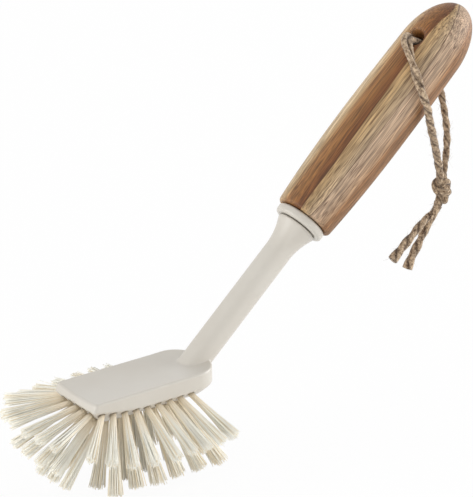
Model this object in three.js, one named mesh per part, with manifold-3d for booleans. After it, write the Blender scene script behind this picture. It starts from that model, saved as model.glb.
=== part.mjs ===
// Pot brush: a turned wooden handle on a moulded plastic head and neck, with staple-set bristle
// tufts and a hanging loop of jute twine.
// Millimetres, +Z up. The head's top plate is level, the handle rises towards +X, and the origin
// is under the middle of the brush, on the plane of its lowest bristle tips.
import * as THREE from 'three';
import { mergeVertices } from 'three/addons/utils/BufferGeometryUtils.js';
import Module from 'manifold-3d';

const wasm = await Module();
wasm.setup();

// Fits
const CLEARANCE = 0.3; // between pieces that seat on each other

// Head. x runs back from the front edge of the top plate, z is 0 on the plate
const HEAD_WIDTH = 29.7;
const HEAD_LENGTH = 65;
const BACK_ROUNDING = 12.6; // length of the half ellipse at the back
const FRONT_RAKE = 1; // the front wall leans forward by this much
const EDGE_BEVEL = 0.6;
const RIM_FRONT = 3.2; // height of the wall at the front edge
const RIM_SIDE = 6.6; // height of the wall along the sides
const RIM_RUN = 28; // length over which the wall grows from one to the other
const BELLY_DEPTH = 14.5; // keel of the underside below the plate
const KEEL_FRONT = 16; // where the keel line starts
const PLATE_THICKNESS = 3; // the bristle bed starts below it
const RAMP_START = 46; // the plate is flat up to here
const RAMP_RISE = 0.8; // and rises this much by the back end, into the neck

// Neck, measured along the handle's axis from where that axis meets the plate
const AXIS_X = 61;
const AXIS_RISE = 41.8; // degrees above the plate
const NECK_SIDE = 11; // across the flats of its rounded square
const NECK_SQUARENESS = 3; // power of the superellipse, 2 is round
const NECK_ROOT = 8; // how deep the neck starts inside the head
const FLARE_START = 56;
const FLARE_END = 70.5;
const FLARE_DIAMETER = 18;
const FLARE_POWER = 2.2;
const TANG_DIAMETER = 12;
const TANG_LENGTH = 42; // through the collar and into the wood

// Collar ring
const COLLAR_DIAMETER = 23.2;
const COLLAR_WIDTH = 5;
const COLLAR_BEAD = 2.2; // rounding of its outer edges

// Handle
const HANDLE_LENGTH = 118;
const HANDLE_END_DIAMETER = 26.4;
const HANDLE_SHOULDER_DIAMETER = 28.8;
const HANDLE_SHOULDER_AT = 20;
const HANDLE_MAX_DIAMETER = 30.2;
const HANDLE_MAX_AT = 58;
const BUTT_DIAMETER = 29.2; // where the dome starts
const BUTT_LENGTH = 26;
const LIP_ROUNDING = 0.9;
const BORE_SPARE = 2; // depth left past the end of the tang
const HOLE_DIAMETER = 7.2;
const HOLE_FROM_BUTT = 27;
const HOLE_TURN = 8; // degrees that the hole is turned towards the near side
const HOLE_MOUTH = 1; // sanded edge of both mouths

// Facets round the turned pieces
const NECK_FACETS = 28;
const COLLAR_FACETS = 32;
const HANDLE_FACETS = 36;
const HOLE_FACETS = 24;
const KNOT_FACETS = 16;

// Bristle bed and tufts
const BED_SPLIT_X = 6.4; // the front piece of the bed ends here
const BED_SPLIT_Y = 2.6; // half width of the middle piece
const STRANDS_AROUND = 7; // strands round the middle one of a tuft
const STRAND_WIDTH = 0.8;
const TUFT_ROOT_RADIUS = 1.25;
const TUFT_TIP_RADIUS = 2.5;
const ROOT_DEPTH = 1.6; // how far a strand starts inside the bed
const TIP_DEPTH = 45; // lowest tips below the plate
const TIP_TRIM = 0.5; // cut off the lowest tips so that they end flat
const OUTER_LENGTH = 27; // outer tufts, root to tip
const OUTER_Y = 13.3;
const OUTER_FIRST_X = 3.7;
const OUTER_PITCH = 5.56;
const OUTER_COUNT = 9;
const NEAR_DROOP = 32; // degrees below level, along the near side
const FAR_DROOP = 14; // along the far side, where the tufts are spread wider
const FRONT_DROOP = 10; // and at the front
const DROOP_RUN = 22; // length over which the front's droop turns into the side's
const FAN_MIDDLE_X = 27; // side tufts here point straight sideways
const FAN_AHEAD = 24.4; // tufts this far ahead of it lean forward by 45 degrees
const FAN_BEHIND = 58.8; // and this far behind it they would lean back by 45 degrees
const FRONT_X = 0.9;
const FRONT_YS = [-9.8, -5, 0, 5, 9.8];
const FRONT_SPREAD = 23.8; // front tufts this far off the middle would lean out by 45 degrees
const LOWER_FRONT_X = 4.2;
const LOWER_FRONT_YS = [-7.6, -2.5, 2.5, 7.6];
const LOWER_FRONT_DROOP = 27;
const LOWER_FRONT_LENGTH = 30;
const INNER_FRONT_X = 8.2;
const INNER_FRONT_YS = [-5, 0, 5];
const INNER_FRONT_DROOP = 48;
const INNER_FRONT_LENGTH = 31.5;
const INNER_Y = 7.3;
const INNER_FIRST_X = 13.4;
const INNER_PITCH = 6.3;
const INNER_COUNT = 6;
const INNER_SPLAY = 18; // degrees off straight down
const INNER_TIP_DEPTH = 41.5;
const BELLY_MIDDLE_X = 22; // tufts under the belly hang straight here
const BELLY_FAN = 41.7; // and would lean by 45 degrees this far from it
const CENTRE_FIRST_X = 14.6;
const CENTRE_PITCH = 7.6;
const CENTRE_COUNT = 5;

// Flat-wire staples that hold the folded tufts
const ANCHOR_LENGTH = 2;
const ANCHOR_THICKNESS = 0.5;
const ANCHOR_HEIGHT = 1.2;
const OUTER_ANCHOR_INSET = 2.5; // the staple's distance behind the mouth of its tuft hole, in plan
const FRONT_ANCHOR_INSET = 0.8;

// Hanging loop
const CORD_DIAMETER = 3.6;
const CORD_SIDES = 8;
const CORD_STEP = 3; // length of one straight piece of the cord
const KNOT_DIAMETER = 10.4;
const KNOT_FACE_DIAMETER = 8.8;
const KNOT_WRAPS = 3;
const KNOT_TOP = [188.3, -9, 56.7];
const KNOT_BOTTOM = [187.3, -8.6, 45.6];
// From the middle of the hole, out of its near mouth, round the handle's side and down to the knot
const NEAR_ROUTE = [
  [186.3, 0, 112.2], [182.1, -0.8, 116.2], [178.1, -1.5, 119.0], [175.2, -1.9, 120.9],
  [172.3, -3.0, 122.3], [169.7, -4.7, 121.8], [168.2, -7.4, 119.2], [167.5, -10.2, 115.6],
  [167.2, -13.1, 111.1], [167.6, -15.7, 106.0], [168.8, -17.3, 100.5], [171.2, -17.5, 94.8],
  [173.6, -16.3, 89.2], [176.5, -14.8, 82.8], [180.0, -13.2, 75.2], [183.4, -11.6, 67.0],
  [185.6, -10.6, 61.4], [186.5, -10.3, 57.7],
];
// From the middle of the hole, out of its far mouth and down to the knot
const FAR_ROUTE = [
  [186.5, 0, 112.0], [190.2, 0.8, 107.5], [192.8, 1.5, 103.5], [194.1, 1.9, 100.7],
  [195.1, 1.7, 96.3], [195.6, 0.8, 91.2], [196.0, -0.6, 85.4], [196.1, -2.2, 79.4],
  [195.4, -3.9, 73.7], [194.1, -5.4, 67.8], [192.1, -6.9, 62.3], [190.5, -7.6, 57.7],
];
const LONG_TAIL_ROUTE = [
  [185.9, -10.4, 44.4], [184.7, -10.4, 42.6], [182.3, -10.3, 41.0], [179.2, -10.3, 39.7],
  [175.7, -10.6, 37.8], [171.6, -11.2, 35.1], [167.5, -11.6, 32.3], [162.7, -12.0, 29.0],
  [158.2, -12.4, 25.7],
];
const SHORT_TAIL_ROUTE = [
  [188.5, -7.2, 44.8], [187.8, -6.9, 42.2], [185.7, -6.9, 38.4], [182.6, -7.3, 34.8],
  [179.4, -7.8, 31.4], [176.6, -8.4, 28.0], [173.9, -8.6, 24.4], [171.7, -8.7, 21.0],
  [170.0, -8.8, 17.6],
];

const CREAM = new THREE.MeshStandardMaterial({ color: 0xdedad0, roughness: 0.45 });
const BRISTLE = new THREE.MeshStandardMaterial({ color: 0xe6dcc6, roughness: 0.6 });
const WOOD = new THREE.MeshStandardMaterial({ color: 0xa87c4e, roughness: 0.5 });
const JUTE = new THREE.MeshStandardMaterial({ color: 0xb59b7e, roughness: 0.95 });
const STEEL = new THREE.MeshStandardMaterial({ color: 0xb8bcc0, roughness: 0.35, metalness: 1 });

const radians = THREE.MathUtils.degToRad;
const vec = (x, y, z) => new THREE.Vector3(x, y, z);
const evenly = (count, first, pitch) => Array.from({ length: count }, (_, i) => first + i * pitch);

// Closed meshes

function meshGeometry(points, triangles) {
  const geometry = new THREE.BufferGeometry();
  const flat = points.flatMap((p) => [p.x, p.y, p.z]);
  geometry.setAttribute('position', new THREE.Float32BufferAttribute(flat, 3));
  geometry.setIndex(triangles.flat());
  return geometry;
}

// Merges shared corners and leaves out the triangles that close up to a line.
function welded(geometry) {
  const bare = geometry.clone();
  bare.deleteAttribute('normal');
  bare.deleteAttribute('uv');
  const merged = mergeVertices(bare, 1e-4);
  const index = merged.index.array;
  const kept = [];
  for (let i = 0; i < index.length; i += 3) {
    const [a, b, c] = [index[i], index[i + 1], index[i + 2]];
    if (a !== b && b !== c && c !== a) kept.push(a, b, c);
  }
  merged.setIndex(kept);
  return merged;
}

function solid(geometry) {
  const merged = welded(geometry);
  return new wasm.Manifold(new wasm.Mesh({
    numProp: 3,
    vertProperties: new Float32Array(merged.attributes.position.array),
    triVerts: new Uint32Array(merged.index.array),
  }));
}

function geometryOf(body) {
  const { vertProperties, triVerts } = body.getMesh();
  const geometry = new THREE.BufferGeometry();
  geometry.setAttribute('position', new THREE.BufferAttribute(new Float32Array(vertProperties), 3));
  geometry.setIndex(new THREE.BufferAttribute(new Uint32Array(triVerts), 1));
  return geometry.toNonIndexed();
}

function block(min, max) {
  const size = max.clone().sub(min);
  const centre = min.clone().add(max).multiplyScalar(0.5);
  return new THREE.BoxGeometry(size.x, size.y, size.z).translate(centre.x, centre.y, centre.z);
}

// Joins rings of points, each listed the same way round, with bands of triangles.
function bands(rings) {
  const count = rings[0].length;
  const triangles = [];
  for (let r = 0; r + 1 < rings.length; r++) {
    for (let i = 0; i < count; i++) {
      const a = r * count + i;
      const b = r * count + (i + 1) % count;
      triangles.push([a, a + count, b], [b, a + count, b + count]);
    }
  }
  return triangles;
}

const fan = (corners) => corners.slice(2).map((c, i) => [corners[0], corners[i + 1], c]);
const flip = ([a, b, c]) => [a, c, b];

function named(name, geometry, material) {
  const mesh = new THREE.Mesh(geometry, material);
  mesh.name = name;
  return mesh;
}

// Head: nested outlines from the plate's edge down the wall and in along the underside to the keel

const halfWidth = HEAD_WIDTH / 2;
const straight = HEAD_LENGTH - BACK_ROUNDING;

const rimHeight = (x) => {
  const run = Math.min(Math.max(x, 0) / RIM_RUN, 1);
  return RIM_FRONT + (RIM_SIDE - RIM_FRONT) * Math.sin(run * Math.PI / 2);
};
const plateHeight = (x) => RAMP_RISE * Math.max(0, x - RAMP_START) / (HEAD_LENGTH - RAMP_START);
const keelX = (x) => Math.min(Math.max(x, KEEL_FRONT), straight);

// Plan points of the head's edge, clockwise from above, from the far front corner.
function edgePoints() {
  const sideSteps = 7;
  const arcSteps = 14;
  const frontSteps = 6;
  const sideXs = [...evenly(sideSteps + 1, 0, RAMP_START / sideSteps), straight];
  const front = evenly(frontSteps - 1, -halfWidth + HEAD_WIDTH / frontSteps, HEAD_WIDTH / frontSteps);
  const arc = evenly(arcSteps - 1, Math.PI / arcSteps, Math.PI / arcSteps).map((a) =>
    vec(straight + BACK_ROUNDING * Math.sin(a), halfWidth * Math.cos(a), 0));
  return [
    ...sideXs.map((x) => vec(x, halfWidth, 0)),
    ...arc,
    ...sideXs.toReversed().map((x) => vec(x, -halfWidth, 0)),
    ...front.map((y) => vec(0, y, 0)),
  ];
}

function undersidePoint(edge, share) {
  const rim = rimHeight(edge.x);
  const keel = keelX(edge.x);
  const rimX = edge.x === 0 ? -FRONT_RAKE : edge.x;
  const depth = rim + (BELLY_DEPTH - rim) * (1 - share * share);
  return vec(keel + share * (rimX - keel), share * edge.y, -depth);
}

// Depth of the underside at a plan position, from the share of the way out to the head's edge.
function undersideAt(x, y) {
  const side = Math.abs(y) / halfWidth;
  const ahead = (KEEL_FRONT - x) / (KEEL_FRONT + FRONT_RAKE);
  const behind = Math.hypot(Math.max(0, x - straight) / BACK_ROUNDING, side);
  const share = Math.max(side, ahead, behind);
  const keel = keelX(x);
  const rim = rimHeight(x === keel ? x : keel + (x - keel) / share);
  return -(rim + (BELLY_DEPTH - rim) * (1 - share * share));
}

function headBody() {
  const shares = [1, 0.9, 0.75, 0.55, 0.3, 0];
  const edge = edgePoints();
  const topEdge = edge.map((p) => {
    const inward = vec(keelX(p.x) - p.x, -p.y, 0).normalize().multiplyScalar(EDGE_BEVEL);
    const x = p.x === RAMP_START ? p.x : p.x + inward.x;
    return vec(x, p.y + inward.y, plateHeight(x));
  });
  const wallTop = edge.map((p) => vec(p.x, p.y, plateHeight(p.x) - EDGE_BEVEL));
  const rings = [topEdge, wallTop, ...shares.map((s) => edge.map((p) => undersidePoint(p, s)))];
  const corners = edge.map((_, i) => i);
  const flatPart = corners.filter((i) => edge[i].x <= RAMP_START);
  const rampPart = corners.filter((i) => edge[i].x >= RAMP_START);
  const lastOfFarSide = flatPart.findIndex((i) => edge[i].x === RAMP_START);
  const flatLoop = [...flatPart.slice(lastOfFarSide + 1), ...flatPart.slice(0, lastOfFarSide + 1)];
  const triangles = [...fan(flatLoop), ...fan(rampPart), ...bands(rings)].map(flip);
  return solid(meshGeometry(rings.flat(), triangles));
}

// Everything on the handle's axis is drawn in this frame: x up and forward, y along, z far side
const rise = radians(AXIS_RISE);
const axisFrame = new THREE.Matrix4().makeBasis(
  vec(-Math.sin(rise), 0, Math.cos(rise)),
  vec(Math.cos(rise), 0, Math.sin(rise)),
  vec(0, 1, 0),
).setPosition(AXIS_X, 0, 0);

function ringOfPoints(along, half, power) {
  return evenly(NECK_FACETS, 0, 2 * Math.PI / NECK_FACETS).map((a) => {
    const c = Math.cos(a);
    const s = Math.sin(a);
    const reach = half / (Math.abs(c) ** power + Math.abs(s) ** power) ** (1 / power);
    return vec(reach * c, along, reach * s);
  });
}

function neckBody() {
  const flareSteps = 7;
  const flare = evenly(flareSteps, 1 / flareSteps, 1 / flareSteps).map((f) => {
    const grow = f ** FLARE_POWER;
    return ringOfPoints(
      FLARE_START + f * (FLARE_END - FLARE_START),
      THREE.MathUtils.lerp(NECK_SIDE / 2, FLARE_DIAMETER / 2, grow),
      THREE.MathUtils.lerp(NECK_SQUARENESS, 2, f),
    );
  });
  const rings = [
    ringOfPoints(-NECK_ROOT, NECK_SIDE / 2, NECK_SQUARENESS),
    ringOfPoints(FLARE_START, NECK_SIDE / 2, NECK_SQUARENESS),
    ...flare,
    ringOfPoints(FLARE_END, TANG_DIAMETER / 2, 2),
    ringOfPoints(FLARE_END + TANG_LENGTH, TANG_DIAMETER / 2, 2),
  ];
  const count = rings[0].length;
  const first = rings[0].map((_, i) => i);
  const last = first.map((i) => i + (rings.length - 1) * count);
  const triangles = [...fan(first), ...fan(last).map(flip), ...bands(rings)];
  return solid(meshGeometry(rings.flat(), triangles).applyMatrix4(axisFrame));
}

const REACH = 400; // larger than the whole brush, for the cutting blocks
const head = headBody();
const abovePlate = solid(block(vec(-REACH, -REACH, -PLATE_THICKNESS), vec(REACH, REACH, REACH)));
const headMoulding = head.add(neckBody()).intersect(abovePlate);
const bed = head.intersect(
  solid(block(vec(-REACH, -REACH, -REACH), vec(REACH, REACH, -PLATE_THICKNESS - CLEARANCE))));

// Tufts: where each is rooted, which way it points, how long it is and how its staple lies

function pointing(forward, sideways, droop) {
  const level = vec(-forward, sideways, 0).normalize().multiplyScalar(Math.cos(radians(droop)));
  return level.setZ(-Math.sin(radians(droop)));
}

function tuft(x, y, direction, length, anchorInset, anchorAlongX) {
  const root = vec(x, y, undersideAt(x, y));
  const inward = vec(-direction.x, -direction.y, 0).setLength(anchorInset);
  return { root, direction, length, anchor: root.clone().add(inward), anchorAlongX };
}

function outerSideTuft(x, side) {
  const lean = (FAN_MIDDLE_X - x) / (x < FAN_MIDDLE_X ? FAN_AHEAD : FAN_BEHIND);
  const turn = Math.sin(Math.min(x / DROOP_RUN, 1) * Math.PI / 2);
  const droop = THREE.MathUtils.lerp(FRONT_DROOP, side < 0 ? NEAR_DROOP : FAR_DROOP, turn);
  const direction = pointing(lean, side, droop);
  return tuft(x, side * OUTER_Y, direction, OUTER_LENGTH, OUTER_ANCHOR_INSET, x > BED_SPLIT_X);
}

function frontTuft(x, y, droop, length, anchorInset) {
  return tuft(x, y, pointing(1, y / FRONT_SPREAD, droop), length, anchorInset, false);
}

function innerSideTuft(x, side) {
  const lean = (BELLY_MIDDLE_X - x) / BELLY_FAN;
  const sideways = side * Math.tan(radians(INNER_SPLAY));
  const direction = vec(-lean, sideways, -1).normalize();
  const y = side * INNER_Y;
  const length = (INNER_TIP_DEPTH + undersideAt(x, y)) / -direction.z;
  return tuft(x, y, direction, length, 0, true);
}

function centreTuft(x) {
  const direction = vec((x - BELLY_MIDDLE_X) / BELLY_FAN, 0, -1).normalize();
  const length = (TIP_DEPTH + TIP_TRIM + undersideAt(x, 0)) / -direction.z;
  return tuft(x, 0, direction, length, 0, true);
}

const tufts = [
  ...FRONT_YS.map((y) => frontTuft(FRONT_X, y, FRONT_DROOP, OUTER_LENGTH, OUTER_ANCHOR_INSET)),
  ...LOWER_FRONT_YS.map((y) =>
    frontTuft(LOWER_FRONT_X, y, LOWER_FRONT_DROOP, LOWER_FRONT_LENGTH, FRONT_ANCHOR_INSET)),
  ...INNER_FRONT_YS.map((y) =>
    frontTuft(INNER_FRONT_X, y, INNER_FRONT_DROOP, INNER_FRONT_LENGTH, FRONT_ANCHOR_INSET)),
  ...[-1, 1].flatMap((side) => evenly(OUTER_COUNT, OUTER_FIRST_X, OUTER_PITCH).map((x) =>
    outerSideTuft(x, side))),
  ...[-1, 1].flatMap((side) => evenly(INNER_COUNT, INNER_FIRST_X, INNER_PITCH).map((x) =>
    innerSideTuft(x, side))),
  ...evenly(CENTRE_COUNT, CENTRE_FIRST_X, CENTRE_PITCH).map(centreTuft),
];

// Three-sided strands of one tuft, opening out from root to tip, as rings of three points.
function strandGeometries({ root, direction, length }) {
  const across = vec(0, 0, 1).cross(direction);
  if (across.lengthSq() < 1e-6) across.set(1, 0, 0);
  across.normalize();
  const up = direction.clone().cross(across);
  const spoke = (angle, radius) => across.clone().multiplyScalar(radius * Math.cos(angle))
    .addScaledVector(up, radius * Math.sin(angle));
  const section = (centre) => evenly(3, 0, -2 * Math.PI / 3).map((a) =>
    centre.clone().add(spoke(a, STRAND_WIDTH / Math.sqrt(3))));
  const triangles = [[0, 1, 2], [3, 5, 4], ...bands([[0, 1, 2], [3, 4, 5]])];
  const angles = evenly(STRANDS_AROUND, 0, 2 * Math.PI / STRANDS_AROUND);
  const places = [{ angle: 0, share: 0 }, ...angles.map((angle) => ({ angle, share: 1 }))];
  return places.map(({ angle, share }) => {
    const start = root.clone().addScaledVector(direction, -ROOT_DEPTH)
      .add(spoke(angle, share * TUFT_ROOT_RADIUS));
    const tip = root.clone().addScaledVector(direction, length).add(spoke(angle, share * TUFT_TIP_RADIUS));
    return meshGeometry([...section(start), ...section(tip)], triangles);
  });
}

// A staple, or with extra > 0 the pocket that it lies in, open at the top of the bed.
function anchorBlock({ anchor, anchorAlongX }, extra) {
  const alongX = anchorAlongX ? ANCHOR_LENGTH : ANCHOR_THICKNESS;
  const alongY = anchorAlongX ? ANCHOR_THICKNESS : ANCHOR_LENGTH;
  const half = vec(alongX / 2 + extra, alongY / 2 + extra, 0);
  const top = -PLATE_THICKNESS - CLEARANCE;
  const min = vec(anchor.x, anchor.y, top - ANCHOR_HEIGHT - extra).sub(half);
  return block(min, vec(anchor.x, anchor.y, top + extra).add(half));
}

function bristlePiece(min, max) {
  const inside = ({ root }) => root.x > min.x && root.x < max.x && root.y > min.y && root.y < max.y;
  const seam = vec(CLEARANCE / 2, CLEARANCE / 2, 0);
  const own = tufts.filter(inside);
  let body = bed.intersect(solid(block(min.clone().add(seam), max.clone().sub(seam))));
  for (const one of own) body = body.subtract(solid(anchorBlock(one, CLEARANCE)));
  for (const strand of own.flatMap(strandGeometries)) body = body.add(solid(strand));
  const table = solid(block(vec(-REACH, -REACH, -REACH), vec(REACH, REACH, -TIP_DEPTH)));
  return geometryOf(body.subtract(table));
}

const bristlePieces = [
  ['bristles_front', vec(-REACH, -REACH, -REACH), vec(BED_SPLIT_X, REACH, REACH)],
  ['bristles_near', vec(BED_SPLIT_X, -REACH, -REACH), vec(REACH, -BED_SPLIT_Y, REACH)],
  ['bristles_far', vec(BED_SPLIT_X, BED_SPLIT_Y, -REACH), vec(REACH, REACH, REACH)],
  ['bristles_middle', vec(BED_SPLIT_X, -BED_SPLIT_Y, -REACH), vec(REACH, BED_SPLIT_Y, REACH)],
];

// Collar and handle, lathed about the handle's axis

function collarGeometry() {
  const bore = TANG_DIAMETER / 2 + CLEARANCE;
  const outer = COLLAR_DIAMETER / 2;
  const beadSteps = 4;
  const quarter = (turn, y) => evenly(beadSteps + 1, 0, Math.PI / 2 / beadSteps).map((a) =>
    new THREE.Vector2(outer - COLLAR_BEAD + COLLAR_BEAD * Math.cos(a + turn),
      y + COLLAR_BEAD * Math.sin(a + turn)));
  const profile = [
    new THREE.Vector2(bore, 0),
    ...quarter(-Math.PI / 2, COLLAR_BEAD),
    ...quarter(0, COLLAR_WIDTH - COLLAR_BEAD),
    new THREE.Vector2(bore, COLLAR_WIDTH),
    new THREE.Vector2(bore, 0),
  ];
  return new THREE.LatheGeometry(profile, COLLAR_FACETS);
}

const collarStart = FLARE_END + CLEARANCE;
const handleStart = collarStart + COLLAR_WIDTH + CLEARANCE;
const boreDepth = FLARE_END + TANG_LENGTH + BORE_SPARE - handleStart;
const holeAt = HANDLE_LENGTH - HOLE_FROM_BUTT;

function handleProfile() {
  const bore = TANG_DIAMETER / 2 + CLEARANCE;
  const end = HANDLE_END_DIAMETER / 2;
  const domeStart = HANDLE_LENGTH - BUTT_LENGTH;
  const barrelSteps = 11;
  const domeSteps = 9;
  const barrel = new THREE.SplineCurve([
    new THREE.Vector2(end, LIP_ROUNDING),
    new THREE.Vector2(HANDLE_SHOULDER_DIAMETER / 2, HANDLE_SHOULDER_AT),
    new THREE.Vector2(HANDLE_MAX_DIAMETER / 2, HANDLE_MAX_AT),
    new THREE.Vector2(BUTT_DIAMETER / 2, domeStart),
  ]).getPoints(barrelSteps);
  const dome = evenly(domeSteps - 1, Math.PI / 2 / domeSteps, Math.PI / 2 / domeSteps).map((a) =>
    new THREE.Vector2(BUTT_DIAMETER / 2 * Math.cos(a), domeStart + BUTT_LENGTH * Math.sin(a)));
  return [
    new THREE.Vector2(0, boreDepth),
    new THREE.Vector2(bore, boreDepth),
    new THREE.Vector2(bore, 0),
    new THREE.Vector2(end - LIP_ROUNDING, 0),
    ...barrel,
    ...dome,
    new THREE.Vector2(0, HANDLE_LENGTH),
  ];
}

// A bit right through the wood, with a 45 degree cone at each mouth.
function holeDrill() {
  const radius = HOLE_DIAMETER / 2;
  const through = 2 * BUTT_DIAMETER;
  const cone = (side) => {
    const narrow = radius - HOLE_MOUTH;
    const wide = radius + 2 * HOLE_MOUTH;
    const geometry = new THREE.CylinderGeometry(wide, narrow, wide - narrow, HOLE_FACETS);
    return solid(geometry.translate(0, (BUTT_DIAMETER - HOLE_MOUTH) / 2, 0).rotateX(side));
  };
  const bit = solid(new THREE.CylinderGeometry(radius, radius, through, HOLE_FACETS));
  const drill = geometryOf(bit.add(cone(0)).add(cone(Math.PI)));
  return solid(drill.rotateZ(-Math.PI / 2).rotateY(radians(HOLE_TURN)).translate(0, holeAt, 0));
}

const handleGeometry = geometryOf(
  solid(new THREE.LatheGeometry(handleProfile(), HANDLE_FACETS)).subtract(holeDrill()));

// Hanging loop: an eight-sided cord along its route, and a knot of rounded wraps

function cordGeometry(route) {
  const curve = new THREE.CatmullRomCurve3(route.map((p) => vec(...p)));
  const section = new THREE.Shape(evenly(CORD_SIDES, 0, 2 * Math.PI / CORD_SIDES).map((a) =>
    new THREE.Vector2(CORD_DIAMETER / 2 * Math.cos(a), CORD_DIAMETER / 2 * Math.sin(a))));
  const steps = Math.round(curve.getLength() / CORD_STEP);
  return new THREE.ExtrudeGeometry(section, { steps, bevelEnabled: false, extrudePath: curve });
}

function knotGeometry(height) {
  const stepsPerWrap = 4;
  const face = KNOT_FACE_DIAMETER / 2;
  const bulge = KNOT_DIAMETER / 2 - face;
  const steps = KNOT_WRAPS * stepsPerWrap;
  const wraps = evenly(steps + 1, 0, 1 / steps).map((f) => {
    const wave = Math.abs(Math.sin(f * KNOT_WRAPS * Math.PI));
    return new THREE.Vector2(face + bulge * wave, f * height);
  });
  const profile = [new THREE.Vector2(0, 0), ...wraps, new THREE.Vector2(0, height)];
  return new THREE.LatheGeometry(profile, KNOT_FACETS);
}

function knot() {
  const bottom = vec(...KNOT_BOTTOM);
  const along = vec(...KNOT_TOP).sub(bottom);
  const mesh = named('loop_knot', knotGeometry(along.length()), JUTE);
  mesh.position.copy(bottom);
  mesh.quaternion.setFromUnitVectors(vec(0, 1, 0), along.normalize());
  return mesh;
}

// Assembly

const onAxis = new THREE.Group();
axisFrame.decompose(onAxis.position, onAxis.quaternion, onAxis.scale);
const collar = named('collar_ring', collarGeometry(), CREAM);
collar.position.y = collarStart;
const handle = named('handle', handleGeometry, WOOD);
handle.position.y = handleStart;
onAxis.add(collar, handle);

const anchors = tufts.map((one, i) =>
  named(`anchor_${String(i + 1).padStart(2, '0')}`, geometryOf(solid(anchorBlock(one, 0))), STEEL));

const body = new THREE.Group();
body.add(
  named('head_moulding', geometryOf(headMoulding), CREAM),
  ...bristlePieces.map(([name, min, max]) => named(name, bristlePiece(min, max), BRISTLE)),
  ...anchors,
  onAxis,
);

const loop = new THREE.Group();
loop.add(
  named('loop_strand_near', cordGeometry(NEAR_ROUTE), JUTE),
  named('loop_strand_far', cordGeometry(FAR_ROUTE), JUTE),
  knot(),
  named('loop_tail_long', cordGeometry(LONG_TAIL_ROUTE), JUTE),
  named('loop_tail_short', cordGeometry(SHORT_TAIL_ROUTE), JUTE),
);

const brush = new THREE.Group();
brush.add(body, loop);
const box = new THREE.Box3().setFromObject(body, true);
brush.position.set(-(box.min.x + box.max.x) / 2, -(box.min.y + box.max.y) / 2, -box.min.z);

const potBrush = new THREE.Group();
potBrush.add(brush);

export default potBrush;
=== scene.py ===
"""Pot brush: a turned wooden handle on a cream plastic neck and head, fanned tufts of bristle and a
hanging loop of jute twine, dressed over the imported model.

Shapes are worked out in millimetres in the head's own frame: x runs back from the front edge of the
plate, z is 0 at the plate and +y is the far side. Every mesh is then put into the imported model's
frame in metres."""
import math

import bpy
import numpy as np
from mathutils import Matrix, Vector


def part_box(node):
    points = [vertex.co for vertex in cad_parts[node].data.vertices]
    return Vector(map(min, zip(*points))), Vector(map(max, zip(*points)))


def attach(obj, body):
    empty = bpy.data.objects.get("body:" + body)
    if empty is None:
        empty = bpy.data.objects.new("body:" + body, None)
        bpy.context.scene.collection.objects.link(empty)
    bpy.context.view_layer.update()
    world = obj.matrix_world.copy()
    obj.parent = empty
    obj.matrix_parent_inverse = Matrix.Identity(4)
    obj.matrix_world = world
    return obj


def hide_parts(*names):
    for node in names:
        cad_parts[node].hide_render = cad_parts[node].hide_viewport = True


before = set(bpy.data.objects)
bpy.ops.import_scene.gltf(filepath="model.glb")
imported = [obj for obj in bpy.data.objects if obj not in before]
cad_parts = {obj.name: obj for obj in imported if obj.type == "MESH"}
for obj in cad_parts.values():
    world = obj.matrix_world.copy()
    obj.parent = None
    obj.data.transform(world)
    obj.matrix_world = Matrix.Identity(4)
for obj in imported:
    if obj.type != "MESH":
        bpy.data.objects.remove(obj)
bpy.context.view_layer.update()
rng = np.random.default_rng(7)

MM = 0.001

# The least that something is divided by
TINY = 1e-6

# Surfaces taken from fields: how often points slide on to them, by what share of a step slopes are
# measured, and the least squared slope
SLIDES = 3
NUDGE_SHARE = 0.1
LEAST_SLOPE = 0.2

# Head
HEAD_WIDTH = 29.7
HEAD_LENGTH = 65
BACK_ROUNDING = 12.6
FRONT_RAKE = 1
CORNER_ROUNDING = 1.2
EDGE_BEVEL = 0.6
EDGE_SOFTNESS = 0.2
PLATE_DISH = 0.9
RIM_FRONT = 3.2
RIM_SIDE = 6.6
RIM_RUN = 28
BELLY_DEPTH = 14.5
KEEL_FRONT = 16
RAMP_START = 46
RAMP_RISE = 0.8
SOCKET_DIAMETER = 3.2
SOCKET_DEPTH = 1.4
SOCKET_EDGE = 0.3
UNDERSIDE_SLOPE = 1.3
HEAD_LATTICE = 0.42
MOULDING_LOW = [-2.5, -16.2, -15.6]
MOULDING_HIGH = [146, 16.2, 79]

# Neck, along the handle's axis from where that axis meets the plate
AXIS_X = 61
AXIS_RISE = math.radians(41.8)
NECK_SIDE = 11
NECK_SQUARENESS = 2.8
NECK_ROOT = 8
NECK_FILLET = 0.6
FLARE_START = 56
FLARE_END = 70.5
FLARE_DIAMETER = 18
FLARE_LIP = 1
FLARE_POWER = 2.2
FLARE_EDGE = 0.6
TANG_DIAMETER = 12
TANG_LENGTH = 42
TANG_START = 66

# Collar ring and handle
FIT_GAP = 0.3
COLLAR_DIAMETER = 23.2
COLLAR_WIDTH = 5
COLLAR_BEAD = 1.3
COLLAR_SET_BACK = 1.0
COLLAR_SIDES = 128
COLLAR_BEAD_POINTS = 9
HANDLE_LENGTH = 118
HANDLE_STATIONS = [0.9, 20, 58, 92]
HANDLE_DIAMETERS = [26.4, 28.8, 30.2, 29.2]
BUTT_LENGTH = 26
LIP_ROUNDING = 0.8
HOLE_DIAMETER = 7.2
HOLE_FROM_BUTT = 27
HOLE_TURN = math.radians(8)
HOLE_MOUTH = 1.6
HANDLE_LATTICE = 0.5
HANDLE_MARGIN = 1

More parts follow.
